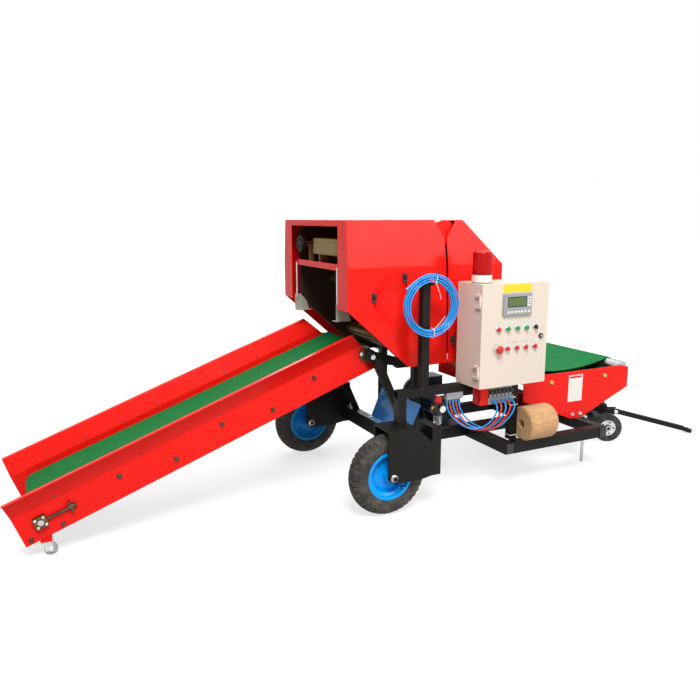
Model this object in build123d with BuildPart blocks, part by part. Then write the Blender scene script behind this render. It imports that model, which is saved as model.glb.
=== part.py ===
from build123d import *
import os
from math import asin, atan2, cos, degrees, hypot, radians, sin, tan

os.makedirs("parts", exist_ok=True)

# Frame: millimetres, +X from the feed conveyor to the drawbar, +Z up, floor at Z = 0.

# Running gear
AXLE_X = -398.0
WHEEL_R = 200.0
TRACK = 1000.0
TYRE_BULGE = 52.0
TYRE_TREAD = 38.0
TYRE_SHOULDER_R = 184.0
TYRE_BULGE_R = 152.0
RIM_R = 112.0
RIM_WALL = 7.0
RIM_HALF = 42.0
RIM_FLANGE = 9.0
RIM_WELL = 16.0
RIM_WELL_HALF = 20.0
DISC_T = 6.0
DISC_OUT = 6.0
DISC_DISH = 12.0
DISC_STEP_R = 62.0
HUB_R = 30.0
HUB_HALF = 47.0
AXLE_R = 12.5
RUN_CLEAR = 0.05

# Wheel boxes that carry the axles
FORK_PLATE = 8.0
FORK_HALF = 75.0
FORK_FRONT = 31.0
FORK_TOP_Z = 433.0
FORK_LOW_Z = 170.0
FORK_TUBE = 50.0
FORK_TUBE_GAP = 9.0
FORK_REACH = 122.0
FORK_SLOPE = 85.0
FORK_HEEL = 150.0
FORK_TOE = 10.0
FORK_CHIN = 25.0
FORK_TUBE_DROP = 12.0
AXLE_NUT = 12.0

# Chassis
RAIL_Z = 208.0
RAIL_H = 60.0
RAIL_W = 50.0
CROSS_H = 80.0
SPINE_Y = 180.0
OUTRIGGER_X = AXLE_X + 666.0
OUTER_Y = 540.0
REAR_CROSS_X = AXLE_X + 1316.0
KINGPIN_X = AXLE_X + 1892.0
KINGPIN_R = 16.0
SPINE_END_W = 80.0

# Chamber and covers
FRONT_X = AXLE_X - 161.0
COVER_HALF = 406.0
COVER_TOP_HALF = 384.0
COVER_T = 4.0
COVER_TOP_Z = 1399.0
COVER_LOW_Z = 688.0
HOOD_H = COVER_TOP_Z - COVER_LOW_Z
FOLD_Z = COVER_LOW_Z + 0.692 * HOOD_H
MOUTH_LOW_Z = COVER_LOW_Z + 0.411 * HOOD_H
MOUTH_HALF = 295.0
MOUTH_LINTEL = 29.0
MOUTH_TOP_Z = COVER_TOP_Z - MOUTH_LINTEL
MOUTH_LOW_X = AXLE_X + 171.0
SEAM_X = AXLE_X + 400.0
SEAM_GAP = 6.0
HINGE_X = AXLE_X + 378.0
HINGE_DROP = 0.1224 * HOOD_H
HINGE_Z = COVER_TOP_Z - HINGE_DROP
NOTCH_HALF = 0.724 * HINGE_DROP
GUARD_R = 0.98 * HINGE_DROP
GUARD_T = 3.0
GUARD_END = 372.0
GUARD_LEAN = 36.0
GATE_TOP_X = SEAM_X + 0.1153 * HOOD_H
GATE_BACK_X = SEAM_X + 0.45 * HOOD_H
TOP_FLANGE = 30.0
CHAMBER_X = SEAM_X - 0.0563 * HOOD_H
CHAMBER_Z = COVER_LOW_Z + 0.467 * HOOD_H
ROLLER_RING_R = 0.408 * HOOD_H
ROLLER_R = 0.045 * HOOD_H
ROLLER_BARS = 6
ROLLER_BAR = 6.0
FRONT_PLATE_Y = 270.0
PLATE_T = 8.0
PLATE_GAP = 6.0
HINGE_R = 12.0
EAR_R = 30.0

# Conveyor, in its own plane: u along the belt from the tail, w square to it
PIVOT_X = AXLE_X + 17.5
PIVOT_Z = 736.35
CONV_TAIL_Z = 63.0
CONV_LEN = 1790.0
CONV_HEAD_END = 60.0
HEAD_CUT = 162.0
CONV_HALF = 265.0
CONV_WALL = 141.0
CONV_FLARE = 82.0
CONV_FLARE_HALF = 301.0
CONV_LIP = 20.0
CONV_T = 3.0
CONV_BED_W = 62.0
CONV_FOOT = 40.0
HEAD_CUT_W = 300.0
PIVOT_OUT = 60.0
TAIL_SHAFT_OUT = 25.0
DRUM_OVER = 10.0
DRUM_R = 42.0
DRUM_W = 78.0
BELT_T = 5.0
BELT_HALF = 215.0
TAIL_DRUM_U = 95.0
HEAD_DRUM_U = CONV_LEN - CONV_HEAD_END
SHAFT_R = 12.5
CONV_RISE = asin((PIVOT_Z - CONV_TAIL_Z) / hypot(HEAD_DRUM_U, DRUM_W)) - atan2(DRUM_W, HEAD_DRUM_U)
CONV_ANGLE = degrees(CONV_RISE)
CONV_COS = cos(CONV_RISE)
CONV_SIN = sin(CONV_RISE)
CONV_TAIL_X = PIVOT_X - HEAD_DRUM_U * CONV_COS + DRUM_W * CONV_SIN
CONV_BAR_US = (0.2, 0.5, 0.8)
CONV_BAR_W = 40.0
CONV_BAR_H = 30.0
BEARING_PLATE = 8.0
BEARING_L = 52.0
BEARING_R = 30.0
BEARING_OUT = 20.0
TAKE_UP_REACH = 130.0
TAKE_UP_R = 6.0
TAKE_UP_LUG = 8.0

# Wrapping table
TABLE_X = AXLE_X + 1283.0
TABLE_HALF_X = 391.0
TABLE_HALF_Y = 415.0
TABLE_T = 5.0
TABLE_LOW_Z = 285.0
TABLE_SIDE_Z = 428.0
TABLE_TOP_Z = 562.0
TABLE_CORNER = 60.0
TABLE_CORNER_Z = 548.0
TABLE_FLAT = 38.0
TABLE_ROLLER_X = 345.0
TABLE_ROLLER_Z = 545.0
TABLE_ROLLER_R = 40.0
TABLE_BELT_HALF = 300.0
TABLE_SAG = 45.0
TABLE_RING_R = 150.0
TABLE_PIVOT_R = 30.0
TABLE_ROLLER_END = 4.0
TABLE_BEAM_LIFT = 5.0
TABLE_BEAM_H = 40.0
TABLE_BASE_X = TABLE_X - 170.0
TABLE_BASE_T = 50.0
TABLE_SEAT_T = 12.0
TABLE_SEAT_GAP = 2.0
TABLE_PIVOT_L = 54.0

# Cabinet
CAB_X = AXLE_X + 410.0
CAB_W = 400.0
CAB_H = 500.0
CAB_Z = 605.0
CAB_FRONT_Y = -660.0
CAB_DEPTH = 195.0
CAB_WALL = 2.0
DOOR_T = 18.0
DOOR_GAP = 1.5

# Near side beam
BEAM_Y = -500.0
BEAM_W = 40.0
BEAM_TOP_Z = 605.0
BEAM_LEFT_X = AXLE_X + 45.0
POST_X = AXLE_X + 70.0
HOSE_POST_X = AXLE_X + 196.0
HOSE_POST_TOP = 1120.0
CAB_POST_X = AXLE_X + 745.0
BEAM_WALL = 3.0
BEAM_HOLLOW = 120.0
POST_HALF = 22.0
CAB_POST_HALF = 20.0
POST_FOOT_T = 8.0
HOSE_POST_HALF = 20.0
PEG_OUT = 55.0
PEG_DROP = 12.0
PEG_R = 6.0

# Axle ends
FORK_TUBE_X = AXLE_X + WHEEL_R + FORK_TUBE_GAP
AXLE_END = FORK_HALF + AXLE_NUT

# Chassis lines
CROSS_X = FORK_TUBE_X
RAIL_TOP = RAIL_Z + RAIL_H

# Chamber stand
SILL_Z = COVER_LOW_Z + 12.0
SILL_H = 40.0
SILL_Y = FRONT_PLATE_Y + PLATE_T / 2
LEG_W = 40.0
ARM_Y = SILL_Y + LEG_W / 2
PIVOT_ARM_T = 10.0
ARM_END_X = MOUTH_LOW_X + 60.0
SILL_END_X = SEAM_X - 30.0
SLANT_T = 30.0
SLANT_W = 34.0
SLANT_TOP_X = PIVOT_X + 12.0
SLANT_TOP_Z = PIVOT_Z - 46.0

# Cover seams and the guard over the hinge
OPEN_REACH = 40.0
HOOD_MARGIN = 50.0
SPLIT_HALF = COVER_TOP_HALF - TOP_FLANGE
GUARD_ROOF_Z = COVER_TOP_Z - COVER_T
GUARD_STRIP_X = HINGE_X - NOTCH_HALF

# Chamber plates, stays and rollers
FRONT_PLATE_OUT = FRONT_PLATE_Y + PLATE_T
GATE_PLATE_Y = FRONT_PLATE_OUT + PLATE_GAP
EDGE = 40.0
EAR_EDGE = 4.0
GATE_ARM_OUT = 1.15 * HINGE_DROP
GATE_ARM_DROP = 0.345 * HINGE_DROP
GATE_LIFT = 10.0
HINGE_END = 10.0
STAY_R = 10.0
STAY_LOW_Z = COVER_LOW_Z + 0.085 * HOOD_H
STAY_HIGH_Z = COVER_LOW_Z + 0.62 * HOOD_H
STAY_INSET = 50.0
FRONT_STAYS = (
    (FRONT_X + 2 * STAY_INSET, STAY_HIGH_Z),
    (SEAM_X - 2 * STAY_INSET, STAY_HIGH_Z),
    (SEAM_X - 2 * STAY_INSET, STAY_LOW_Z),
)
GATE_STAY_BACK_X = GATE_BACK_X - 2 * EDGE
GATE_STAYS = (
    (GATE_STAY_BACK_X, STAY_HIGH_Z),
    (GATE_STAY_BACK_X, STAY_LOW_Z),
    (SEAM_X + STAY_INSET, STAY_LOW_Z),
)
FRONT_ROLLER_ANGLES = (105, 126, 147, 168, 232, 253)
GATE_ROLLER_FIRST = -74.0
GATE_ROLLER_STEP = 19.4
GATE_ROLLER_ANGLES = tuple(GATE_ROLLER_FIRST + GATE_ROLLER_STEP * count for count in range(8))

# Twine unit
MOUTH_INSET = 20.0
MOUTH_X = FRONT_X + MOUTH_INSET
TRAY_TOP = MOUTH_LOW_Z + 0.477 * (MOUTH_TOP_Z - MOUTH_LOW_Z)
TWINE_BOX_Z = TRAY_TOP + 62.0
TWINE_BOX_H = 80.0
TWINE_BOX_L = 90.0
TWINE_BOX_NEAR_Y = -250.0
TWINE_BOX_FAR_Y = 40.0
TWINE_FEET = (-230.0, 0.0)
TWINE_FOOT = 20.0
PULLEY_Y = 200.0
PULLEY_Z = TRAY_TOP + 109.0
PULLEY_R = 42.0
PULLEY_W = 24.0
PULLEY_BOSS_R = 12.0
PULLEY_HUB_R = 16.0
PULLEY_SPOKES = 3
PULLEY_SPOKE_W = 8.0
TRAY_T = 6.0
TRAY_L = 130.0
TRAY_LIP = 24.0

# Conveyor bearings
TAKE_UP_HALF = 26.0
TAKE_UP_CORNER = 8.0
TAKE_UP_NUT = 22.0
BEARING_FLANGE_R = 34.0
BEARING_TURN = 35.0

# Casters
CASTER_X = CONV_TAIL_X + 78.0
CASTER_Y = 235.0
CASTER_R = 27.0
CASTER_W = 20.0
CASTER_TRAIL = 16.0
CASTER_PLATE_Z = 66.0
CASTER_PLATE_T = 4.0
CASTER_PIN_R = 5.0
CASTER_GAP = 1.0
CASTER_BASE_HALF = 24.0
CASTER_BASE_W = 44.0
CASTER_SWIVEL_R = 17.0
CASTER_CHEEK_Y = 13.0
CASTER_CHEEK_T = 3.0
CASTER_CHEEK_EDGE = 8.0
CASTER_CHEEK_LOW = 6.0
CASTER_AXLE_HALF = 16.0
CASTER_EDGE_R = 4.0
CASTER_PLATE_EDGE = 12.0
CASTER_TOP_Z = CASTER_PLATE_Z - CASTER_GAP
SWIVEL_TOP = CASTER_PLATE_Z + 12.0

# Turning frame
RING_Z = RAIL_TOP + TABLE_SEAT_T + TABLE_SEAT_GAP
TABLE_BEAM_Z = TABLE_LOW_Z + TABLE_BEAM_LIFT

# Steering bogie and drawbar
STEER_DEG = -28.0
STEER_WHEEL_R = 90.0
STEER_WHEEL_W = 40.0
STEER_HALF = 195.0
STEER_AXLE_R = 10.0
BOGIE_LOW_Z = 118.0
BOGIE_GAP = 8.0
BOGIE_TOP_Z = RAIL_Z - BOGIE_GAP
BAR_W = 30.0
BAR_HINGE_R = 110.0
BAR_HINGE_Z = 146.0
BAR_END_R = 600.0
BAR_EYE_R = 30.0
BAR_EYE_HOLE = 13.0
BAR_PIN_R = 8.0
BAR_PIN_HALF = 34.0
BAR_LUG_T = 12.0
BAR_LUG_GAP = 3.0
BAR_LUG_H = 18.0
BAR_LUG_END = 16.0
BAR_EYE_LIFT = 6.5
BOGIE_HALF_X = 30.0
BOGIE_BEAM_H = 40.0
BOGIE_END = 35.0
BOGIE_HEAD = 45.0
KNUCKLE_IN = 100.0
KNUCKLE_OUT = 140.0
KNUCKLE_HALF = 20.0
STEER_AXLE_OUT = 30.0
STEER_EDGE_R = 8.0
STEER_DISH_R = 52.0
STEER_DISH = 7.0
KINGPIN_TOP = 14.0
BAR_EYE_Z = BAR_W / 2 + BAR_EYE_LIFT

# Screw legs
LEG_SCREW_R = 9.0
LEG_OUT = 14.0
LEG_X = REAR_CROSS_X + RAIL_W + LEG_OUT
LEG_Y = 382.0
SLEEVE_R = 18.0
LEG_TOP_Z = 280.0

# Peg of the spare hose
PEG_Z = HOSE_POST_TOP - PEG_DROP

# Cabinet door, hinges, controls and beacon
BOX_FRONT_Y = CAB_FRONT_Y + DOOR_T + DOOR_GAP
BOX_BACK_Y = CAB_FRONT_Y + CAB_DEPTH
CAB_TOP = CAB_Z + CAB_H
PIN_X = CAB_X - 6.0
DOOR_PIVOT_Y = CAB_FRONT_Y + DOOR_T / 2
DOOR_PIN_R = 3.5
KNUCKLE_H = 40.0
KNUCKLE_ARM = 12.0
KNUCKLE_INSET = 80.0
KNUCKLES_Z = (CAB_Z + KNUCKLE_INSET, CAB_TOP - KNUCKLE_INSET)
KNUCKLE_GAP = 0.5
KNUCKLE_T = 4.0
KNUCKLE_PIN_OUT = 8.0
KNUCKLE_FOOT = 25.0
KNUCKLE_LEAF = 3.0
KNUCKLE_WALL = 2.2
ARM_CLEAR = 2.5
PLATE_INSET = 30.0
PLATE_BACK = 20.0
BUTTON_X = CAB_X + 98.0
BUTTON_STEP = 56.0
BUTTON_COUNT = 5
BUTTON_ROWS = (CAB_Z + 283.0, CAB_Z + 187.0)
BUTTON_RING_R = 15.0
BUTTON_RING_T = 6.0
BUTTON_R = 11.0
BUTTON_T = 16.0
STOP_R = 20.0
STOP_T = 30.0
SCREEN_LEFT = CAB_X + 118.0
SCREEN_RIGHT = CAB_X + 287.0
SCREEN_LOW_Z = CAB_Z + 346.0
SCREEN_TOP_Z = CAB_Z + 452.0
SCREEN_T = 14.0
LOCK_X = CAB_X + 360.0
LOCK_Z = CAB_Z + 235.0
LOCK_R = 13.0
LOCK_T = 8.0
BEACON_X = CAB_X + 60.0
BEACON_Y = CAB_FRONT_Y + 90.0
BEACON_BASE_R = 48.0
BEACON_BASE_H = 40.0
BEACON_R = 45.0
BEACON_H = 110.0
BEACON_EDGE_R = 14.0
BEACON_Z = CAB_TOP + BEACON_BASE_H

# Valve bank and air unit
VALVE_X = CAB_X + 110.0
VALVE_Y = CAB_FRONT_Y + 70.0
VALVE_COUNT = 6
VALVE_PITCH = 24.0
VALVE_LOW_Z = CAB_Z - 105.0
VALVE_DEPTH = 60.0
VALVE_BASE_H = 35.0
VALVE_TOP_H = 22.0
VALVE_SIDE = 8.0
VALVE_GAP = 4.0
VALVE_END_X = VALVE_X + VALVE_COUNT * VALVE_PITCH + 12.0
AIR_X = AXLE_X + 285.0
AIR_Z = BEAM_TOP_Z - BEAM_W
AIR_BRACKET_T = 8.0
AIR_KNOB_R = 17.0
AIR_BODY_TOP = AIR_Z - 45.0
AIR_BODY_LOW = AIR_Z - 95.0
AIR_BODY_HALF = 25.0
AIR_BOWL_LOW = AIR_Z - 165.0
AIR_BOWL_R = 22.0
AIR_GAUGE_R = 20.0
AIR_GAUGE_T = 20.0

# Twine ball
TWINE_R = 90.0
TWINE_X = AXLE_X + 770.0
TWINE_LEN = 180.0
TWINE_Y = -550.0
TWINE_Z = RAIL_TOP + TWINE_R
TWINE_EDGE_R = 15.0
TWINE_CORE_R = 25.0

# Drop chute and drive motor
CHUTE_X = CROSS_X + 6.0
CHUTE_Z = RAIL_Z + CROSS_H
CHUTE_NEAR = 285.0
CHUTE_FAR = 130.0
CHUTE_T = 3.0
CHUTE_FLAT = 34.0
CHUTE_RUN = 70.0
CHUTE_RISE = 159.0
MOTOR_R = 95.0
MOTOR_FIN = 10.0
MOTOR_FIN_T = 4.0
MOTOR_FINS = 28
MOTOR_X = AXLE_X + 560.0
MOTOR_PLATE_T = 12.0
MOTOR_LIFT = 20.0
MOTOR_Z = RAIL_TOP + MOTOR_PLATE_T + MOTOR_R + MOTOR_LIFT
MOTOR_NEAR_Y = -170.0
MOTOR_FAR_Y = 150.0
MOTOR_MIDDLE_Y = (MOTOR_NEAR_Y + MOTOR_FAR_Y) / 2
MOTOR_BELL = 25.0
MOTOR_PLATE_HALF = 90.0
MOTOR_FOOT_HALF = 80.0
MOTOR_FOOT_T = 40.0
MOTOR_FEET = (-80.0, 60.0)
MOTOR_SHAFT_R = 18.0
MOTOR_SHAFT_L = 60.0
TERMINAL_HALF = 45.0
TERMINAL_NEAR_Y = -60.0
TERMINAL_FAR_Y = 40.0
TERMINAL_H = 35.0

# Film stand
MAST_W = 50.0
MAST_Y = 645.0
MAST_TOP = 1010.0
FILM_LOW_Z = 705.0
FILM_HIGH_Z = 975.0
FILM_ARM_T = 6.0
REEL_X = TABLE_X + 150.0
REEL_Y = 600.0
REEL_R = 100.0
SPINDLE_R = 12.0
REEL_END_GAP = 8.0
FILM_ARM_LEFT = TABLE_X - 70.0
FILM_ARM_RIGHT = REEL_X + 30.0
FILM_ARM_IN = 530.0
FILM_ARM_OUT = 675.0
FILM_ROLLER_XS = (TABLE_X + 16.0, TABLE_X - 38.0)
FILM_ROLLER_Y = 566.0
FILM_ROLLER_R = 24.0

# Tailgate cylinder
CYL_Y = 340.0
CYL_BASE_X = AXLE_X + 80.0
CYL_BASE_Z = COVER_LOW_Z + 0.2419 * HOOD_H
CYL_EYE_X = SEAM_X + 0.211 * HOOD_H
CYL_EYE_Z = COVER_LOW_Z + 0.5091 * HOOD_H
CYL_R = 25.0
CYL_BORE_R = 20.0
CYL_ROD_R = 8.0
CYL_PIN_R = 10.0
CYL_EYE_R = 20.0
CYL_EYE_HALF = 12.0
CYL_NECK = 25.0
CYL_NECK_R = 11.0
CYL_WALL = 15.0
CYL_GLAND = 12.0
CYL_OPEN = 105.0
PISTON_U = 60.0
PISTON_L = 20.0
ROD_EYE_R = 18.0
ROD_EYE_HALF = 10.0
GATE_BOSS_R = 14.0
GATE_BOSS_GAP = 13.0
STUD_END = 25.0

# Air hoses
HOSE_R = 4.0
HOSE_STEP = 27.0
HOSE_END_STEP = 18.0
HOSE_PORT_X = VALVE_X + 24.0
HOSE_PORT_Y = VALVE_Y - 14.0
HOSE_PORT_Z = VALVE_LOW_Z + 17.0
BLOCK_X = AXLE_X + 335.0
BLOCK_Z = BEAM_TOP_Z - BEAM_W - 35.0
HOSE_END_Z = BLOCK_Z - 15.0
HOSE_PORT_R = HOSE_R + 3.0
BLOCK_SIDE = 12.0
BLOCK_HALF = 18.0
HANK_R = 146.0
HANK_BAND = 38.0
HANK_DEPTH = 36.0
HANK_GAP = 0.3
HANK_EDGE_R = 14.0
HANK_Z = PEG_Z + PEG_R + HANK_GAP - HANK_R + HANK_BAND
HANK_Y = BEAM_Y - 50.0

# Hoses in their order along the ports: colour and height of the lowest run
HOSES = (
    ("blue", 395.0),
    ("red", 385.0),
    ("blue", 390.0),
    ("red", 378.0),
    ("blue", 384.0),
)

# Route of a hose: share of the way across, step outwards and height, from its valve port
HOSE_DROPS = (
    (0.0, -24.0, -8.0),
    (0.03, -38.0, -34.0),
    (0.12, -36.0, -74.0),
)

# Sag of a hose: share of the way across, step outwards and height over its lowest run
HOSE_SAGS = (
    (0.35, -16.0, 0.0),
    (0.65, 22.0, -5.0),
    (0.88, 64.0, 34.0),
)
HOSE_RISE = Vector(-4.0, -12.0, -40.0)
HOSE_BEND = 0.45


def save(builder, name):
    builder.part.label = name
    export_step(builder.part, f"parts/{name}.step")


def span_box(low, high, mode=Mode.ADD):
    """A box between two opposite corners, in the part being built."""
    size = [b - a for a, b in zip(low, high)]
    middle = [(a + b) / 2 for a, b in zip(low, high)]
    with Locations(tuple(middle)):
        Box(*size, mode=mode)


def rod(start, end, radius, mode=Mode.ADD):
    """A round bar between two points, in the part being built."""
    way = Vector(*end) - Vector(*start)
    with Locations(Plane(origin=start, z_dir=way)):
        Cylinder(radius, way.length, align=(Align.CENTER, Align.CENTER, Align.MIN), mode=mode)


def cross_tube(x, z, radius, half, mode=Mode.ADD):
    """A round bar across the machine, centred on its middle plane."""
    rod((x, -half, z), (x, half, z), radius, mode)


# Main wheels
def wheel_plane(y):
    return Plane(origin=(AXLE_X, y, WHEEL_R), x_dir=(0, 1, 0), z_dir=(1, 0, 0))


def make_tyre(y):
    with BuildPart() as tyre:
        with BuildSketch(wheel_plane(y)):
            with BuildLine():
                side_a = ThreePointArc(
                    (-RIM_HALF, RIM_R + RIM_FLANGE), (-TYRE_BULGE, TYRE_BULGE_R),
                    (-TYRE_TREAD, TYRE_SHOULDER_R),
                )
                crown = ThreePointArc(side_a @ 1, (0, WHEEL_R), (TYRE_TREAD, TYRE_SHOULDER_R))
                side_b = ThreePointArc(crown @ 1, (TYRE_BULGE, TYRE_BULGE_R), (RIM_HALF, RIM_R + RIM_FLANGE))
                Polyline(
                    side_b @ 1,
                    (RIM_HALF - RIM_WALL, RIM_R + RIM_FLANGE),
                    (RIM_HALF - RIM_WALL, RIM_R),
                    (-RIM_HALF + RIM_WALL, RIM_R),
                    (-RIM_HALF + RIM_WALL, RIM_R + RIM_FLANGE),
                    side_a @ 0,
                )
            make_face()
        revolve(axis=Axis((AXLE_X, y, WHEEL_R), (0, 1, 0)))
    return tyre


def make_rim(y, outward):
    """A dished steel rim: flanges, well, disc and hub, turned from one section."""
    flange = RIM_R + RIM_FLANGE
    disc_low = outward * DISC_OUT - DISC_T / 2
    with BuildPart() as rim:
        with BuildSketch(wheel_plane(y)):
            with BuildLine():
                Polyline(
                    (-RIM_HALF, flange),
                    (-RIM_HALF, RIM_R - RIM_WALL),
                    (-RIM_WELL_HALF - RIM_WALL, RIM_R - RIM_WALL),
                    (-RIM_WELL_HALF, RIM_R - RIM_WELL - RIM_WALL),
                    (RIM_WELL_HALF, RIM_R - RIM_WELL - RIM_WALL),
                    (RIM_WELL_HALF + RIM_WALL, RIM_R - RIM_WALL),
                    (RIM_HALF, RIM_R - RIM_WALL),
                    (RIM_HALF, flange),
                    (RIM_HALF - RIM_WALL, flange),
                    (RIM_HALF - RIM_WALL, RIM_R),
                    (RIM_WELL_HALF, RIM_R),
                    (RIM_WELL_HALF - RIM_WALL, RIM_R - RIM_WELL),
                    (-RIM_WELL_HALF + RIM_WALL, RIM_R - RIM_WELL),
                    (-RIM_WELL_HALF, RIM_R),
                    (-RIM_HALF + RIM_WALL, RIM_R),
                    (-RIM_HALF + RIM_WALL, flange),
                    close=True,
                )
            make_face()
            with BuildLine():
                Polyline(
                    (disc_low, AXLE_R),
                    (disc_low + DISC_T, AXLE_R),
                    (disc_low + DISC_T, DISC_STEP_R),
                    (disc_low + DISC_T - outward * DISC_DISH, RIM_R - RIM_WELL - RIM_WALL / 2),
                    (disc_low - outward * DISC_DISH, RIM_R - RIM_WELL - RIM_WALL / 2),
                    (disc_low, DISC_STEP_R),
                    close=True,
                )
            make_face()
            with Locations((0, (HUB_R + AXLE_R) / 2)):
                Rectangle(2 * HUB_HALF, HUB_R - AXLE_R)
        revolve(axis=Axis((AXLE_X, y, WHEEL_R), (0, 1, 0)))
        rod(
            (AXLE_X, y - TRACK / 4, WHEEL_R),
            (AXLE_X, y + TRACK / 4, WHEEL_R),
            AXLE_R + RUN_CLEAR,
            Mode.SUBTRACT,
        )
    return rim


for side, sign in (("near", -1), ("far", 1)):
    wheel_y = sign * TRACK / 2
    tyre = make_tyre(wheel_y)
    save(tyre, f"tyre_{side}")
    rim = make_rim(wheel_y, sign)
    save(rim, f"rim_{side}")

# Wheel boxes: two side plates, a top plate and the upright tube behind the wheel
with BuildPart() as wheel_box_near:
    for plate_y in (-TRACK / 2 - FORK_HALF, -TRACK / 2 + FORK_HALF - FORK_PLATE):
        with BuildSketch(Plane.XZ.offset(-plate_y)):
            Polygon(
                (AXLE_X - FORK_FRONT, FORK_TOP_Z),
                (AXLE_X + FORK_REACH, FORK_TOP_Z),
                (FORK_TUBE_X, FORK_TOP_Z - FORK_SLOPE),
                (FORK_TUBE_X, FORK_LOW_Z + FORK_TOE),
                (AXLE_X + FORK_HEEL, FORK_LOW_Z),
                (AXLE_X, FORK_LOW_Z),
                (AXLE_X - FORK_FRONT, FORK_LOW_Z + FORK_CHIN),
                align=None,
            )
        extrude(amount=-FORK_PLATE)
    span_box(
        (AXLE_X - FORK_FRONT, -TRACK / 2 - FORK_HALF, FORK_TOP_Z - FORK_PLATE),
        (AXLE_X + FORK_REACH, -TRACK / 2 + FORK_HALF, FORK_TOP_Z),
    )
    span_box(
        (FORK_TUBE_X, -TRACK / 2 - FORK_HALF, FORK_LOW_Z + FORK_TOE),
        (FORK_TUBE_X + FORK_TUBE, -TRACK / 2 + FORK_HALF, FORK_TOP_Z - FORK_TUBE_DROP),
    )
    rod(
        (AXLE_X, -TRACK / 2 - 2 * FORK_HALF, WHEEL_R),
        (AXLE_X, -TRACK / 2 + 2 * FORK_HALF, WHEEL_R),
        AXLE_R,
        Mode.SUBTRACT,
    )
with BuildPart() as wheel_box_far:
    mirror(wheel_box_near.part, about=Plane.XZ)

with BuildPart() as axle_pins:
    for sign in (-1, 1):
        middle = sign * TRACK / 2
        rod((AXLE_X, middle - AXLE_END, WHEEL_R), (AXLE_X, middle + AXLE_END, WHEEL_R), AXLE_R)

# Chassis: rails, cross members, outriggers and the spine that holds the kingpin
with BuildPart() as chassis_frame:
    span_box(
        (CROSS_X, -TRACK / 2 + FORK_HALF, RAIL_Z),
        (CROSS_X + RAIL_W, TRACK / 2 - FORK_HALF, RAIL_Z + CROSS_H),
    )
    for cross_x in (OUTRIGGER_X, REAR_CROSS_X):
        span_box((cross_x, -OUTER_Y - RAIL_W / 2, RAIL_Z), (cross_x + RAIL_W, OUTER_Y + RAIL_W / 2, RAIL_TOP))
    for rail_y in (-SPINE_Y, SPINE_Y):
        span_box(
            (CROSS_X, rail_y - RAIL_W / 2, RAIL_Z), (REAR_CROSS_X + RAIL_W, rail_y + RAIL_W / 2, RAIL_TOP)
        )
    for rail_y in (-OUTER_Y, OUTER_Y):
        span_box(
            (OUTRIGGER_X, rail_y - RAIL_W / 2, RAIL_Z), (REAR_CROSS_X + RAIL_W, rail_y + RAIL_W / 2, RAIL_TOP)
        )
    span_box((REAR_CROSS_X, -SPINE_END_W / 2, RAIL_Z), (KINGPIN_X, SPINE_END_W / 2, RAIL_TOP))
    with Locations((KINGPIN_X, 0, RAIL_Z + RAIL_H / 2)):
        Cylinder(SPINE_END_W / 2, RAIL_H)
    rod(
        (KINGPIN_X, 0, RAIL_Z - KINGPIN_R),
        (KINGPIN_X, 0, RAIL_TOP + KINGPIN_R),
        KINGPIN_R + RUN_CLEAR,
        Mode.SUBTRACT,
    )

# Legs between the rails and the chamber, with the sills that the side plates stand on
with BuildPart() as chamber_stand:
    for sign in (-1, 1):
        span_box(
            (SILL_END_X - LEG_W, sign * SPINE_Y - LEG_W / 2, RAIL_TOP),
            (SILL_END_X, sign * SPINE_Y + LEG_W / 2, SILL_Z),
        )
        span_box(
            (SILL_END_X - LEG_W, min(sign * SPINE_Y, sign * SILL_Y) - LEG_W / 2, SILL_Z - LEG_W),
            (SILL_END_X, max(sign * SPINE_Y, sign * SILL_Y) + LEG_W / 2, SILL_Z),
        )
        span_box(
            (MOUTH_LOW_X, sign * SILL_Y - LEG_W / 2, SILL_Z - SILL_H),
            (SILL_END_X, sign * SILL_Y + LEG_W / 2, SILL_Z),
        )
        slant_y = min(sign * ARM_Y, sign * (ARM_Y + SLANT_T))
        with BuildSketch(Plane.XZ.offset(-slant_y)):
            Polygon(
                (SLANT_TOP_X, SLANT_TOP_Z + SLANT_W),
                (SLANT_TOP_X + SLANT_W, SLANT_TOP_Z + SLANT_W),
                (CROSS_X + RAIL_W, RAIL_Z + CROSS_H),
                (CROSS_X + RAIL_W - SLANT_W, RAIL_Z + CROSS_H),
                (SLANT_TOP_X, SLANT_TOP_Z),
                align=None,
            )
        extrude(amount=-SLANT_T)


# Covers: one hood outline in side view, leaning in above the fold
def hood_solid(outline, inset):
    half, top_half = COVER_HALF - inset, COVER_TOP_HALF - inset
    with BuildPart() as solid:
        with BuildSketch(Plane.XZ):
            Polygon(*outline, align=None)
        extrude(amount=2 * COVER_HALF, both=True)
        with BuildSketch(Plane.YZ.offset(FRONT_X - HOOD_MARGIN)):
            Polygon(
                (-half, COVER_LOW_Z - HOOD_MARGIN),
                (half, COVER_LOW_Z - HOOD_MARGIN),
                (half, FOLD_Z),
                (top_half, COVER_TOP_Z),
                (-top_half, COVER_TOP_Z),
                (-half, FOLD_Z),
                align=None,
            )
        extrude(amount=GATE_BACK_X - FRONT_X + 2 * HOOD_MARGIN, mode=Mode.INTERSECT)
    return solid.part


def front_outline(inset, reach):
    seam = SEAM_X - SEAM_GAP / 2
    return (
        (FRONT_X + inset, MOUTH_LOW_Z - reach),
        (FRONT_X + inset, COVER_TOP_Z - inset),
        (HINGE_X - NOTCH_HALF + reach, COVER_TOP_Z - inset),
        (HINGE_X - SEAM_GAP + reach, HINGE_Z),
        (seam + reach, COVER_LOW_Z - reach),
        (MOUTH_LOW_X - reach, COVER_LOW_Z - reach),
    )


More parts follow.
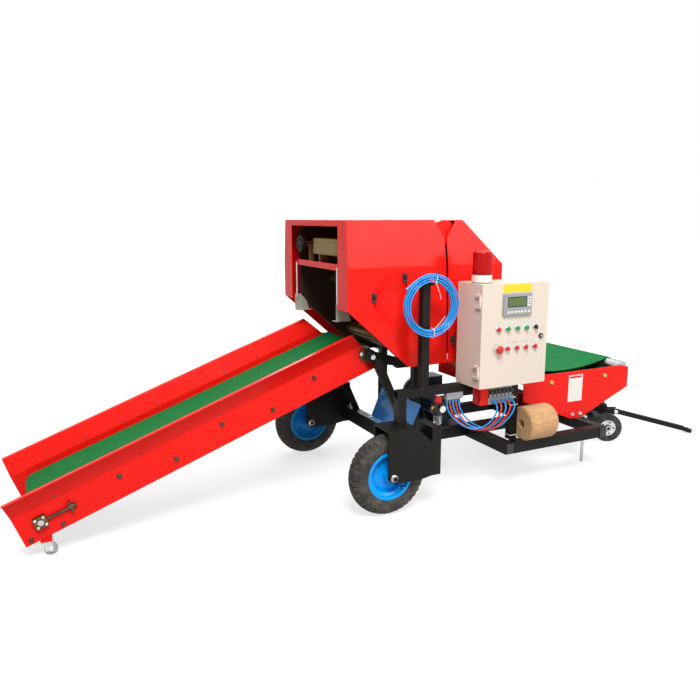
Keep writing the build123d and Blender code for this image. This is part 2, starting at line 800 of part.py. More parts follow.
def gate_outline(inset, reach):
    seam = SEAM_X + SEAM_GAP / 2
    return (
        (seam - reach, COVER_LOW_Z - reach),
        (HINGE_X + SEAM_GAP - reach, HINGE_Z),
        (HINGE_X + NOTCH_HALF - reach, COVER_TOP_Z - inset),
        (GATE_TOP_X - inset / 2, COVER_TOP_Z - inset),
        (GATE_BACK_X - inset, FOLD_Z - inset / 2),
        (GATE_BACK_X - inset, COVER_LOW_Z - reach),
    )


def cover_pieces(outer, inner):
    """Near side, middle and far side sheets of one hood."""
    with BuildPart() as shell:
        add(outer)
        add(inner, mode=Mode.SUBTRACT)
    length = GATE_BACK_X - FRONT_X
    middle_x = (GATE_BACK_X + FRONT_X) / 2
    bands = ((-COVER_HALF, -SPLIT_HALF), (-SPLIT_HALF, SPLIT_HALF), (SPLIT_HALF, COVER_HALF))
    pieces = []
    for low_y, high_y in bands:
        with BuildPart() as piece:
            add(shell.part)
            with Locations((middle_x, (low_y + high_y) / 2, COVER_TOP_Z / 2)):
                Box(length + HOOD_MARGIN, high_y - low_y, COVER_TOP_Z + HOOD_MARGIN, mode=Mode.INTERSECT)
        pieces.append(piece)
    return pieces


front_pieces = cover_pieces(
    hood_solid(front_outline(0, 0), 0), hood_solid(front_outline(COVER_T, OPEN_REACH), COVER_T)
)


def on_guard(radius, lean):
    """A point at a radius about the hinge, leaning back from upright by an angle."""
    return (HINGE_X + radius * sin(radians(lean)), HINGE_Z + radius * cos(radians(lean)))


with BuildPart() as hinge_guard:
    with BuildSketch(Plane.XZ):
        with BuildLine():
            outer = ThreePointArc(*[on_guard(GUARD_R, lean) for lean in (-GUARD_LEAN, 0, GUARD_LEAN)])
            guard_in = GUARD_R - GUARD_T
            inner = ThreePointArc(*[on_guard(guard_in, lean) for lean in (GUARD_LEAN, 0, -GUARD_LEAN)])
            Line(outer @ 1, inner @ 0)
            Line(inner @ 1, outer @ 0)
        make_face()
    extrude(amount=GUARD_END, both=True)
    with BuildSketch(Plane.XZ):
        Polygon(
            on_guard(GUARD_R - GUARD_T, -GUARD_LEAN),
            on_guard(GUARD_R, -GUARD_LEAN),
            (GUARD_STRIP_X, GUARD_ROOF_Z),
            (GUARD_STRIP_X - TOP_FLANGE, GUARD_ROOF_Z),
            (GUARD_STRIP_X - TOP_FLANGE, GUARD_ROOF_Z - GUARD_T),
            (GUARD_STRIP_X, GUARD_ROOF_Z - GUARD_T),
            align=None,
        )
    extrude(amount=SPLIT_HALF, both=True)
    for low_y in (-GUARD_END, GUARD_END - GUARD_T):
        with BuildSketch(Plane.XZ.offset(-low_y)):
            with BuildLine():
                crown = ThreePointArc(*[on_guard(GUARD_R, lean) for lean in (-GUARD_LEAN, 0, GUARD_LEAN)])
                Polyline(
                    crown @ 1,
                    (HINGE_X + EAR_R, HINGE_Z - EAR_R),
                    (HINGE_X - EAR_R, HINGE_Z - EAR_R),
                    crown @ 0,
                )
            make_face()
        extrude(amount=-GUARD_T)

for side, piece in zip(("near", "top", "far"), front_pieces):
    with BuildPart() as cover:
        add(piece.part)
        span_box(
            (FRONT_X - COVER_T, -MOUTH_HALF, MOUTH_LOW_Z - HOOD_MARGIN),
            (FRONT_X + TOP_FLANGE, MOUTH_HALF, MOUTH_TOP_Z),
            Mode.SUBTRACT,
        )
        if side == "top":
            add(hinge_guard.part)
    save(cover, f"front_cover_{side}")
gate_pieces = cover_pieces(
    hood_solid(gate_outline(0, 0), 0), hood_solid(gate_outline(COVER_T, OPEN_REACH), COVER_T)
)
for side, piece in zip(("near", "back", "far"), gate_pieces):
    save(piece, f"gate_cover_{side}")

# Chamber side plates and the hinge shaft of the tailgate
def plate_pair(outline, inner_y, ear):
    with BuildPart() as plates:
        with BuildSketch(Plane.XZ):
            Polygon(*outline, align=None)
            with Locations((HINGE_X, HINGE_Z)):
                Circle(EAR_R)
                Circle(ear, mode=Mode.SUBTRACT)
        extrude(amount=inner_y + PLATE_T, both=True)
        span_box((FRONT_X, -inner_y, 0), (GATE_BACK_X, inner_y, COVER_TOP_Z), Mode.SUBTRACT)
    return plates


def cover_stays(places, inner_y):
    """Round stays that carry the side sheets, from the plates' outer faces."""
    with BuildPart() as stays:
        for stay_x, stay_z in places:
            for sign in (-1, 1):
                rod(
                    (stay_x, sign * (inner_y + PLATE_T), stay_z),
                    (stay_x, sign * (COVER_HALF - COVER_T), stay_z),
                    STAY_R,
                )
    return stays


front_plates = plate_pair(
    (
        (FRONT_X + EDGE, MOUTH_LOW_Z),
        (FRONT_X + EDGE, COVER_TOP_Z - EDGE),
        (HINGE_X - NOTCH_HALF, COVER_TOP_Z - EDGE),
        (HINGE_X - EAR_EDGE, HINGE_Z),
        (SEAM_X - SEAM_GAP, SILL_Z),
        (MOUTH_LOW_X + EDGE / 2, SILL_Z),
    ),
    FRONT_PLATE_Y,
    HINGE_R,
)
save(front_plates, "chamber_plates")
front_stays = cover_stays(FRONT_STAYS, FRONT_PLATE_Y)
gate_plates = plate_pair(
    (
        (SEAM_X + SEAM_GAP, SILL_Z + GATE_LIFT),
        (HINGE_X + EAR_EDGE, HINGE_Z),
        (HINGE_X + GATE_ARM_OUT, HINGE_Z - GATE_ARM_DROP),
        (GATE_TOP_X - EDGE / 2, COVER_TOP_Z - EDGE),
        (GATE_BACK_X - EDGE, FOLD_Z - EDGE / 2),
        (GATE_BACK_X - EDGE, SILL_Z + GATE_LIFT),
    ),
    GATE_PLATE_Y,
    HINGE_R + RUN_CLEAR,
)
save(gate_plates, "gate_plates")
gate_stays = cover_stays(GATE_STAYS, GATE_PLATE_Y)

with BuildPart() as hinge_shaft:
    cross_tube(HINGE_X, HINGE_Z, HINGE_R, GATE_PLATE_Y + PLATE_T + HINGE_END)
save(hinge_shaft, "hinge_shaft")


def chamber_rollers(angles, half):
    with BuildPart() as rollers:
        for angle in angles:
            x = CHAMBER_X + ROLLER_RING_R * cos(radians(angle))
            z = CHAMBER_Z + ROLLER_RING_R * sin(radians(angle))
            cross_tube(x, z, ROLLER_R - ROLLER_BAR, half)
            with Locations(Plane(origin=(x, 0, z), z_dir=(0, 1, 0))):
                with PolarLocations(ROLLER_R - ROLLER_BAR, ROLLER_BARS):
                    Box(2 * ROLLER_BAR, ROLLER_BAR, 2 * half - 4 * ROLLER_BAR)
    return rollers


front_rollers = chamber_rollers(FRONT_ROLLER_ANGLES, FRONT_PLATE_Y)
save(front_rollers, "front_rollers")
gate_rollers = chamber_rollers(GATE_ROLLER_ANGLES, GATE_PLATE_Y)
save(gate_rollers, "gate_rollers")

# Twine unit in the mouth: box, tray and pulley
with BuildPart() as twine_box:
    span_box(
        (MOUTH_X, TWINE_BOX_NEAR_Y, TWINE_BOX_Z),
        (MOUTH_X + TWINE_BOX_L, TWINE_BOX_FAR_Y, TWINE_BOX_Z + TWINE_BOX_H),
    )
    for foot_y in TWINE_FEET:
        span_box(
            (MOUTH_X + TWINE_FOOT, foot_y, TRAY_TOP),
            (MOUTH_X + TWINE_BOX_L - TWINE_FOOT, foot_y + TWINE_FOOT, TWINE_BOX_Z),
        )
with BuildPart() as twine_tray:
    span_box((MOUTH_X, -FRONT_PLATE_Y, TRAY_TOP - TRAY_T), (MOUTH_X + TRAY_L, FRONT_PLATE_Y, TRAY_TOP))
    span_box(
        (MOUTH_X, -FRONT_PLATE_Y, TRAY_TOP - TRAY_T), (MOUTH_X + TRAY_T, FRONT_PLATE_Y, TRAY_TOP + TRAY_LIP)
    )
save(twine_tray, "twine_tray")
with BuildPart() as twine_pulley:
    with BuildSketch(Plane(origin=(MOUTH_X - PULLEY_W / 2, PULLEY_Y, PULLEY_Z), z_dir=(1, 0, 0))):
        Circle(PULLEY_R)
        Circle(PULLEY_R - PULLEY_BOSS_R, mode=Mode.SUBTRACT)
        for spoke in range(PULLEY_SPOKES):
            Rectangle(2 * PULLEY_R - PULLEY_BOSS_R, PULLEY_SPOKE_W, rotation=180 / PULLEY_SPOKES * spoke)
        Circle(PULLEY_HUB_R)
    extrude(amount=PULLEY_W)
    rod((MOUTH_X, PULLEY_Y, PULLEY_Z), (MOUTH_X + TWINE_BOX_L, PULLEY_Y, PULLEY_Z), PULLEY_BOSS_R)
    span_box(
        (MOUTH_X + TWINE_BOX_L / 2, PULLEY_Y - PULLEY_BOSS_R, TRAY_TOP),
        (MOUTH_X + TWINE_BOX_L - TWINE_FOOT, PULLEY_Y + PULLEY_BOSS_R, PULLEY_Z),
    )


# Conveyor
def conv_point(u, w):
    return (CONV_TAIL_X + u * CONV_COS - w * CONV_SIN, CONV_TAIL_Z + u * CONV_SIN + w * CONV_COS)


CONV_SIDE = Plane(
    origin=(CONV_TAIL_X, 0, CONV_TAIL_Z), x_dir=(CONV_COS, 0, CONV_SIN), z_dir=(0, -1, 0)
)
CONV_END = Plane(
    origin=(CONV_TAIL_X, 0, CONV_TAIL_Z), x_dir=(0, 1, 0), z_dir=(CONV_COS, 0, CONV_SIN)
)
HEAD_X, HEAD_Z = conv_point(HEAD_DRUM_U, DRUM_W)
TAIL_X, TAIL_Z = conv_point(TAIL_DRUM_U, DRUM_W)
with BuildPart() as conveyor_trough:
    with BuildSketch(CONV_END):
        with BuildLine():
            Polyline(
                (-CONV_FLARE_HALF - CONV_LIP, CONV_WALL + CONV_FLARE),
                (-CONV_FLARE_HALF, CONV_WALL + CONV_FLARE),
                (-CONV_HALF, CONV_WALL),
                (-CONV_HALF, 0),
                (-CONV_HALF + CONV_FOOT, 0),
                (-CONV_HALF + CONV_FOOT, CONV_T),
                (-CONV_HALF + CONV_T, CONV_T),
                (-CONV_HALF + CONV_T, CONV_WALL),
                (-CONV_FLARE_HALF + CONV_T, CONV_WALL + CONV_FLARE + CONV_T),
                (-CONV_FLARE_HALF - CONV_LIP, CONV_WALL + CONV_FLARE + CONV_T),
                close=True,
            )
        make_face()
        mirror(about=Plane.YZ)
    extrude(amount=CONV_LEN)
    with BuildSketch(CONV_SIDE):
        with Locations(((HEAD_DRUM_U + TAIL_DRUM_U) / 2, CONV_BED_W)):
            Rectangle(HEAD_DRUM_U - TAIL_DRUM_U - 4 * DRUM_R, CONV_T)
        for share in CONV_BAR_US:
            with Locations((share * CONV_LEN, CONV_BAR_H / 2)):
                Rectangle(CONV_BAR_W, CONV_BAR_H)
                Rectangle(CONV_BAR_W - 2 * CONV_T, CONV_BAR_H - 2 * CONV_T, mode=Mode.SUBTRACT)
    extrude(amount=CONV_HALF, both=True)
    with BuildSketch(CONV_SIDE):
        Polygon(
            (CONV_LEN, 0),
            (CONV_LEN + HEAD_CUT, 0),
            (CONV_LEN + HEAD_CUT, HEAD_CUT_W),
            (CONV_LEN - HEAD_CUT, HEAD_CUT_W),
            align=None,
        )
    extrude(amount=2 * CONV_HALF, both=True, mode=Mode.SUBTRACT)
    cross_tube(HEAD_X, HEAD_Z, SHAFT_R, CONV_FLARE_HALF, Mode.SUBTRACT)
    cross_tube(TAIL_X, TAIL_Z, SHAFT_R, CONV_FLARE_HALF, Mode.SUBTRACT)

with BuildPart() as conveyor_belt:
    with BuildSketch(CONV_SIDE):
        with Locations(((HEAD_DRUM_U + TAIL_DRUM_U) / 2, DRUM_W)):
            SlotCenterToCenter(HEAD_DRUM_U - TAIL_DRUM_U, 2 * (DRUM_R + BELT_T))
            SlotCenterToCenter(HEAD_DRUM_U - TAIL_DRUM_U, 2 * DRUM_R, mode=Mode.SUBTRACT)
    extrude(amount=BELT_HALF, both=True)
save(conveyor_belt, "conveyor_belt")

with BuildPart() as conveyor_drums:
    for drum_x, drum_z, out in ((HEAD_X, HEAD_Z, PIVOT_OUT), (TAIL_X, TAIL_Z, TAIL_SHAFT_OUT)):
        cross_tube(drum_x, drum_z, DRUM_R, BELT_HALF + DRUM_OVER)
        cross_tube(drum_x, drum_z, SHAFT_R, CONV_HALF + out)
save(conveyor_drums, "conveyor_drums")

# Bearings: oval flange units at the head, take-up blocks with their screws at the tail
with BuildPart() as conveyor_bearings:
    for sign in (-1, 1):
        plate_y = min(sign * CONV_HALF, sign * (CONV_HALF + BEARING_PLATE))
        with BuildSketch(Plane(CONV_SIDE.origin + Vector(0, plate_y, 0), CONV_SIDE.x_dir, (0, 1, 0))):
            with Locations((HEAD_DRUM_U, -DRUM_W)):
                Ellipse(BEARING_L, BEARING_FLANGE_R, rotation=BEARING_TURN)
                Circle(SHAFT_R, mode=Mode.SUBTRACT)
        extrude(amount=BEARING_PLATE)
        start_y = sign * (CONV_HALF + BEARING_PLATE)
        end_y = sign * (CONV_HALF + BEARING_OUT)
        rod((HEAD_X, start_y, HEAD_Z), (HEAD_X, end_y, HEAD_Z), BEARING_R)
        rod((HEAD_X, start_y, HEAD_Z), (HEAD_X, end_y, HEAD_Z), SHAFT_R, Mode.SUBTRACT)
        block_low = min(sign * CONV_HALF, sign * (CONV_HALF + BEARING_OUT))
        with BuildSketch(Plane(CONV_SIDE.origin + Vector(0, block_low, 0), CONV_SIDE.x_dir, (0, 1, 0))):
            with Locations((TAIL_DRUM_U, -DRUM_W)):
                RectangleRounded(2 * TAKE_UP_HALF, 2 * TAKE_UP_HALF, TAKE_UP_CORNER)
                Circle(SHAFT_R, mode=Mode.SUBTRACT)
            with Locations((TAIL_DRUM_U + TAKE_UP_REACH, -DRUM_W)):
                Rectangle(TAKE_UP_LUG, 2 * TAKE_UP_HALF)
        extrude(amount=BEARING_OUT)
        screw_y = sign * (CONV_HALF + BEARING_OUT / 2)
        screw_start = conv_point(TAIL_DRUM_U + TAKE_UP_HALF - TAKE_UP_R, DRUM_W)
        screw_end = conv_point(TAIL_DRUM_U + TAKE_UP_REACH + TAKE_UP_NUT, DRUM_W)
        rod((screw_start[0], screw_y, screw_start[1]), (screw_end[0], screw_y, screw_end[1]), TAKE_UP_R)
save(conveyor_bearings, "conveyor_bearings")

# Arms from the sills to the ends of the head shaft
with BuildPart() as conveyor_arms:
    for sign in (-1, 1):
        low_y = min(sign * ARM_Y, sign * (ARM_Y + PIVOT_ARM_T))
        with BuildSketch(Plane.XZ.offset(-low_y)):
            with BuildLine():
                Polyline(
                    (HEAD_X, HEAD_Z + EAR_R),
                    (ARM_END_X, SILL_Z),
                    (ARM_END_X, SILL_Z - SILL_H),
                    (HEAD_X, HEAD_Z - EAR_R),
                    close=True,
                )
            make_face()
            with Locations((HEAD_X, HEAD_Z)):
                Circle(EAR_R)
                Circle(SHAFT_R + RUN_CLEAR, mode=Mode.SUBTRACT)
        extrude(amount=-PIVOT_ARM_T)

# Tail casters
def conv_floor_z(x):
    return CONV_TAIL_Z + (x - CONV_TAIL_X) * tan(radians(CONV_ANGLE))


with BuildPart() as caster_brackets:
    for sign in (-1, 1):
        low_y = sign * CASTER_Y - CASTER_BASE_W / 2
        with BuildSketch(Plane.XZ.offset(-low_y)):
            Polygon(
                (CASTER_X - CASTER_BASE_HALF, CASTER_PLATE_Z),
                (CASTER_X + CASTER_BASE_HALF, CASTER_PLATE_Z),
                (CASTER_X + CASTER_BASE_HALF, conv_floor_z(CASTER_X + CASTER_BASE_HALF)),
                (CASTER_X - CASTER_BASE_HALF, conv_floor_z(CASTER_X - CASTER_BASE_HALF)),
                align=None,
            )
        extrude(amount=-CASTER_BASE_W)
        rod(
            (CASTER_X, sign * CASTER_Y, 0),
            (CASTER_X, sign * CASTER_Y, SWIVEL_TOP),
            CASTER_PIN_R + RUN_CLEAR,
            Mode.SUBTRACT,
        )

for side, sign in (("near", -1), ("far", 1)):
    caster_y = sign * CASTER_Y
    wheel_x = CASTER_X + CASTER_TRAIL
    with BuildPart() as caster_fork:
        with Locations((CASTER_X, caster_y, CASTER_TOP_Z - CASTER_PLATE_T / 2)):
            Cylinder(CASTER_SWIVEL_R, CASTER_PLATE_T)
        for cheek in (-1, 1):
            cheek_y = caster_y + cheek * CASTER_CHEEK_Y
            span_box(
                (CASTER_X - CASTER_CHEEK_EDGE, cheek_y - CASTER_CHEEK_T / 2, CASTER_R - CASTER_CHEEK_LOW),
                (wheel_x + CASTER_CHEEK_EDGE, cheek_y + CASTER_CHEEK_T / 2, CASTER_TOP_Z),
            )
        cheek_out = CASTER_CHEEK_Y + CASTER_CHEEK_T / 2
        span_box(
            (CASTER_X - CASTER_PLATE_EDGE, caster_y - cheek_out, CASTER_TOP_Z - CASTER_PLATE_T),
            (wheel_x + CASTER_CHEEK_EDGE, caster_y + cheek_out, CASTER_TOP_Z),
        )
        rod(
            (wheel_x, caster_y - CASTER_AXLE_HALF, CASTER_R),
            (wheel_x, caster_y + CASTER_AXLE_HALF, CASTER_R),
            CASTER_PIN_R,
        )
        rod(
            (CASTER_X, caster_y, CASTER_TOP_Z - CASTER_PLATE_T / 2),
            (CASTER_X, caster_y, SWIVEL_TOP - CASTER_GAP),
            CASTER_PIN_R,
        )
    save(caster_fork, f"caster_fork_{side}")
    with BuildPart() as caster_wheel:
        rod(
            (wheel_x, caster_y - CASTER_W / 2, CASTER_R),
            (wheel_x, caster_y + CASTER_W / 2, CASTER_R),
            CASTER_R,
        )
        fillet(caster_wheel.edges().filter_by(GeomType.CIRCLE), CASTER_EDGE_R)
        rod(
            (wheel_x, caster_y - CASTER_W, CASTER_R),
            (wheel_x, caster_y + CASTER_W, CASTER_R),
            CASTER_PIN_R + RUN_CLEAR,
            Mode.SUBTRACT,
        )
    save(caster_wheel, f"caster_wheel_{side}")

# Wrapping table: side plates, rollers, belt and turning frame
with BuildPart() as table_plates:
    for plate_y in (-TABLE_HALF_Y, TABLE_HALF_Y - TABLE_T):
        with BuildSketch(Plane.XZ.offset(-plate_y)):
            Polygon(
                (TABLE_X - TABLE_HALF_X, TABLE_SIDE_Z),
                (TABLE_X - TABLE_FLAT, TABLE_LOW_Z),
                (TABLE_X + TABLE_FLAT, TABLE_LOW_Z),
                (TABLE_X + TABLE_HALF_X, TABLE_SIDE_Z),
                (TABLE_X + TABLE_HALF_X, TABLE_CORNER_Z),
                (TABLE_X + TABLE_HALF_X - TABLE_CORNER, TABLE_TOP_Z),
                (TABLE_X - TABLE_HALF_X + TABLE_CORNER, TABLE_TOP_Z),
                (TABLE_X - TABLE_HALF_X, TABLE_CORNER_Z),
                align=None,
            )
        extrude(amount=-TABLE_T)
save(table_plates, "table_plates")

with BuildPart() as table_rollers:
    for sign in (-1, 1):
        roller_x = TABLE_X + sign * TABLE_ROLLER_X
        cross_tube(roller_x, TABLE_ROLLER_Z, TABLE_ROLLER_R, TABLE_HALF_Y - TABLE_T - TABLE_ROLLER_END)
        cross_tube(roller_x, TABLE_ROLLER_Z, SHAFT_R, TABLE_HALF_Y - TABLE_T)
save(table_rollers, "table_rollers")


def belt_loop(offset):
    """Table belt's outline at a distance from the rollers, its upper run sagging between them."""
    radius = TABLE_ROLLER_R + offset
    low_top = TABLE_ROLLER_R - TABLE_SAG
    rise = (TABLE_ROLLER_X**2 - (TABLE_ROLLER_R - low_top) ** 2) / (2 * TABLE_SAG) + low_top
    reach = hypot(TABLE_ROLLER_X, rise)
    lean_x = radius * TABLE_ROLLER_X / reach
    lean_z = radius * rise / reach
    left, right = TABLE_X - TABLE_ROLLER_X, TABLE_X + TABLE_ROLLER_X
    with BuildSketch(Plane.XZ) as loop:
        with BuildLine():
            ThreePointArc(
                (left + lean_x, TABLE_ROLLER_Z + lean_z),
                (TABLE_X, TABLE_ROLLER_Z + low_top + offset),
                (right - lean_x, TABLE_ROLLER_Z + lean_z),
            )
            ThreePointArc(
                (right - lean_x, TABLE_ROLLER_Z + lean_z),
                (right + radius, TABLE_ROLLER_Z),
                (right, TABLE_ROLLER_Z - radius),
            )
            Line((right, TABLE_ROLLER_Z - radius), (left, TABLE_ROLLER_Z - radius))
            ThreePointArc(
                (left, TABLE_ROLLER_Z - radius),
                (left - radius, TABLE_ROLLER_Z),
                (left + lean_x, TABLE_ROLLER_Z + lean_z),
            )
        make_face()
    return loop.sketch


with BuildPart() as table_belt:
    extrude(belt_loop(BELT_T), amount=TABLE_BELT_HALF, both=True)
    extrude(belt_loop(0), amount=TABLE_BELT_HALF, both=True, mode=Mode.SUBTRACT)
save(table_belt, "table_belt")

with BuildPart() as table_frame:
    span_box(
        (TABLE_X - TABLE_FLAT, -TABLE_HALF_Y + TABLE_T, TABLE_BEAM_Z),
        (TABLE_X + TABLE_FLAT, TABLE_HALF_Y - TABLE_T, TABLE_BEAM_Z + TABLE_BEAM_H),
    )
    with Locations((TABLE_X, 0, (RING_Z + TABLE_BEAM_Z) / 2)):
        Cylinder(TABLE_RING_R, TABLE_BEAM_Z - RING_Z)
    rod((TABLE_X, 0, RING_Z - TABLE_PIVOT_L), (TABLE_X, 0, RING_Z), TABLE_PIVOT_R)
save(table_frame, "table_frame")
with BuildPart() as table_base:
    span_box(
        (TABLE_BASE_X, -SPINE_Y + RAIL_W / 2, RAIL_TOP - TABLE_BASE_T),
        (REAR_CROSS_X, SPINE_Y - RAIL_W / 2, RAIL_TOP),
    )
    with Locations((TABLE_X, 0, RAIL_TOP + TABLE_SEAT_T / 2)):
        Cylinder(TABLE_RING_R, TABLE_SEAT_T)
    rod((TABLE_X, 0, RAIL_Z), (TABLE_X, 0, RING_Z), TABLE_PIVOT_R + RUN_CLEAR, Mode.SUBTRACT)

# Steering bogie, its wheels and the drawbar, turned towards the near side as the machine stands
steer_along = Vector(cos(radians(STEER_DEG)), sin(radians(STEER_DEG)), 0)
steer_plane = Plane(origin=(KINGPIN_X, 0, 0), x_dir=steer_along, z_dir=(0, 0, 1))


def on_bogie(along, across, z):
    return tuple(steer_plane.from_local_coords(Vector(along, across, z)))


def bogie_box(low, high, mode=Mode.ADD):
    middle = [(a + b) / 2 for a, b in zip(low, high)]
    with Locations(steer_plane * Location(tuple(middle))):
        Box(*[b - a for a, b in zip(low, high)], mode=mode)


with BuildPart() as steer_bogie:
    bogie_box(
        (-BOGIE_HALF_X, -STEER_HALF + BOGIE_END, BOGIE_LOW_Z),
        (BOGIE_HALF_X, STEER_HALF - BOGIE_END, BOGIE_LOW_Z + BOGIE_BEAM_H),
    )
    bogie_box((-BOGIE_HEAD, -BOGIE_HEAD, BOGIE_LOW_Z + BOGIE_BEAM_H), (BOGIE_HEAD, BOGIE_HEAD, BOGIE_TOP_Z))
    for sign in (-1, 1):
        knuckle_y = sorted((sign * KNUCKLE_IN, sign * KNUCKLE_OUT))
        bogie_box(
            (-KNUCKLE_HALF, knuckle_y[0], STEER_WHEEL_R - KNUCKLE_HALF),
            (KNUCKLE_HALF, knuckle_y[1], BOGIE_LOW_Z),
        )
        lug_y = sign * (BAR_W / 2 + BAR_LUG_GAP + BAR_LUG_T / 2)
        bogie_box(
            (BOGIE_HALF_X, lug_y - BAR_LUG_T / 2, BAR_HINGE_Z - BAR_LUG_H),
            (BAR_HINGE_R + BAR_LUG_END, lug_y + BAR_LUG_T / 2, BAR_HINGE_Z + BAR_LUG_H),
        )
    rod(
        on_bogie(0, -STEER_HALF - STEER_AXLE_OUT, STEER_WHEEL_R),
        on_bogie(0, STEER_HALF + STEER_AXLE_OUT, STEER_WHEEL_R),
        STEER_AXLE_R,
    )
    rod((KINGPIN_X, 0, BOGIE_TOP_Z), (KINGPIN_X, 0, RAIL_TOP + KINGPIN_TOP), KINGPIN_R)
    rod(
        on_bogie(BAR_HINGE_R, -BAR_PIN_HALF, BAR_HINGE_Z),
        on_bogie(BAR_HINGE_R, BAR_PIN_HALF, BAR_HINGE_Z),
        BAR_PIN_R,
    )
save(steer_bogie, "steer_bogie")

with BuildPart() as steer_wheels:
    for sign in (-1, 1):
        inner = sign * (STEER_HALF - STEER_WHEEL_W / 2)
        outer = sign * (STEER_HALF + STEER_WHEEL_W / 2)
        rod(on_bogie(0, inner, STEER_WHEEL_R), on_bogie(0, outer, STEER_WHEEL_R), STEER_WHEEL_R)
    fillet(steer_wheels.edges().filter_by(GeomType.CIRCLE), STEER_EDGE_R)
    for sign in (-1, 1):
        dish = sign * (STEER_HALF + STEER_WHEEL_W / 2 - STEER_DISH)
        outer = sign * (STEER_HALF + STEER_WHEEL_W / 2)
        rod(on_bogie(0, dish, STEER_WHEEL_R), on_bogie(0, outer, STEER_WHEEL_R), STEER_DISH_R, Mode.SUBTRACT)
        rod(on_bogie(0, dish, STEER_WHEEL_R), on_bogie(0, outer, STEER_WHEEL_R), 2 * STEER_AXLE_R)
    rod(
        on_bogie(0, -STEER_HALF - STEER_WHEEL_W, STEER_WHEEL_R),
        on_bogie(0, STEER_HALF + STEER_WHEEL_W, STEER_WHEEL_R),
        STEER_AXLE_R + RUN_CLEAR,
        Mode.SUBTRACT,
    )
save(steer_wheels, "steer_wheels")

bar_start = Vector(*on_bogie(BAR_HINGE_R, 0, BAR_HINGE_Z))
bar_end = Vector(*on_bogie(BAR_END_R, 0, BAR_EYE_Z))
bar_way = (bar_end - bar_start).normalized()
bar_side = steer_plane.y_dir
bar_plane = Plane(origin=bar_start, x_dir=bar_way, z_dir=bar_way.cross(bar_side))
BAR_LEN = (bar_end - bar_start).length
with BuildPart() as drawbar:
    with BuildSketch(bar_plane):
        with Locations((BAR_LEN / 2, 0)):
            Rectangle(BAR_LEN, BAR_W)
        Circle(BAR_W / 2)
        with Locations((BAR_LEN, 0)):
            Circle(BAR_EYE_R)
            Circle(BAR_EYE_HOLE, mode=Mode.SUBTRACT)
    extrude(amount=BAR_W / 2, both=True)
    bar_eye_top = bar_plane.offset(BAR_W / 4)
    with BuildSketch(bar_eye_top):
        with Locations((BAR_LEN, 0)):
            Circle(BAR_EYE_R + BAR_LUG_GAP)
    extrude(amount=BAR_W, mode=Mode.SUBTRACT)
    rod(
        on_bogie(BAR_HINGE_R, -BAR_PIN_HALF, BAR_HINGE_Z),
        on_bogie(BAR_HINGE_R, BAR_PIN_HALF, BAR_HINGE_Z),
        BAR_PIN_R + RUN_CLEAR,
        Mode.SUBTRACT,
    )
save(drawbar, "drawbar")

# Screw legs at the back corners
with BuildPart() as leg_sleeves:
    for sign in (-1, 1):
        rod((LEG_X, sign * LEG_Y, RAIL_Z), (LEG_X, sign * LEG_Y, RAIL_TOP), SLEEVE_R)
        rod(
            (LEG_X, sign * LEG_Y, 0), (LEG_X, sign * LEG_Y, LEG_TOP_Z), LEG_SCREW_R + RUN_CLEAR, Mode.SUBTRACT
        )
for side, sign in (("near", -1), ("far", 1)):
    with BuildPart() as leg_screw:
        rod((LEG_X, sign * LEG_Y, 0), (LEG_X, sign * LEG_Y, LEG_TOP_Z), LEG_SCREW_R)
    save(leg_screw, f"leg_screw_{side}")

# Near side beam, its posts and the post for the spare hose
with BuildPart() as side_beam:
    span_box(
        (BEAM_LEFT_X, BEAM_Y - BEAM_W / 2, BEAM_TOP_Z - BEAM_W),
        (CAB_X + CAB_W, BEAM_Y + BEAM_W / 2, BEAM_TOP_Z),
    )
    span_box(
        (BEAM_LEFT_X, BEAM_Y - BEAM_W / 2 + BEAM_WALL, BEAM_TOP_Z - BEAM_W + BEAM_WALL),
        (BEAM_LEFT_X + BEAM_HOLLOW, BEAM_Y + BEAM_W / 2 - BEAM_WALL, BEAM_TOP_Z - BEAM_WALL),
        Mode.SUBTRACT,
    )
    span_box(
        (POST_X - POST_HALF, BEAM_Y - POST_HALF, FORK_TOP_Z),
        (POST_X + POST_HALF, BEAM_Y + POST_HALF, BEAM_TOP_Z - BEAM_W),
    )
    span_box(
        (CAB_POST_X - CAB_POST_HALF, BEAM_Y - CAB_POST_HALF, RAIL_TOP),
        (CAB_POST_X + CAB_POST_HALF, BEAM_Y + CAB_POST_HALF, BEAM_TOP_Z - BEAM_W),
    )
    span_box(
        (CAB_POST_X - CAB_POST_HALF, -OUTER_Y - RAIL_W / 2, RAIL_TOP),
        (CAB_POST_X + CAB_POST_HALF, BEAM_Y + CAB_POST_HALF, RAIL_TOP + POST_FOOT_T),
    )
with BuildPart() as hose_post:
    span_box(
        (HOSE_POST_X - HOSE_POST_HALF, BEAM_Y - HOSE_POST_HALF, BEAM_TOP_Z),
        (HOSE_POST_X + HOSE_POST_HALF, BEAM_Y + HOSE_POST_HALF, HOSE_POST_TOP),
    )
    rod(
        (HOSE_POST_X, BEAM_Y - HOSE_POST_HALF, PEG_Z),
        (HOSE_POST_X, BEAM_Y - HOSE_POST_HALF - PEG_OUT, PEG_Z),
        PEG_R,
    )

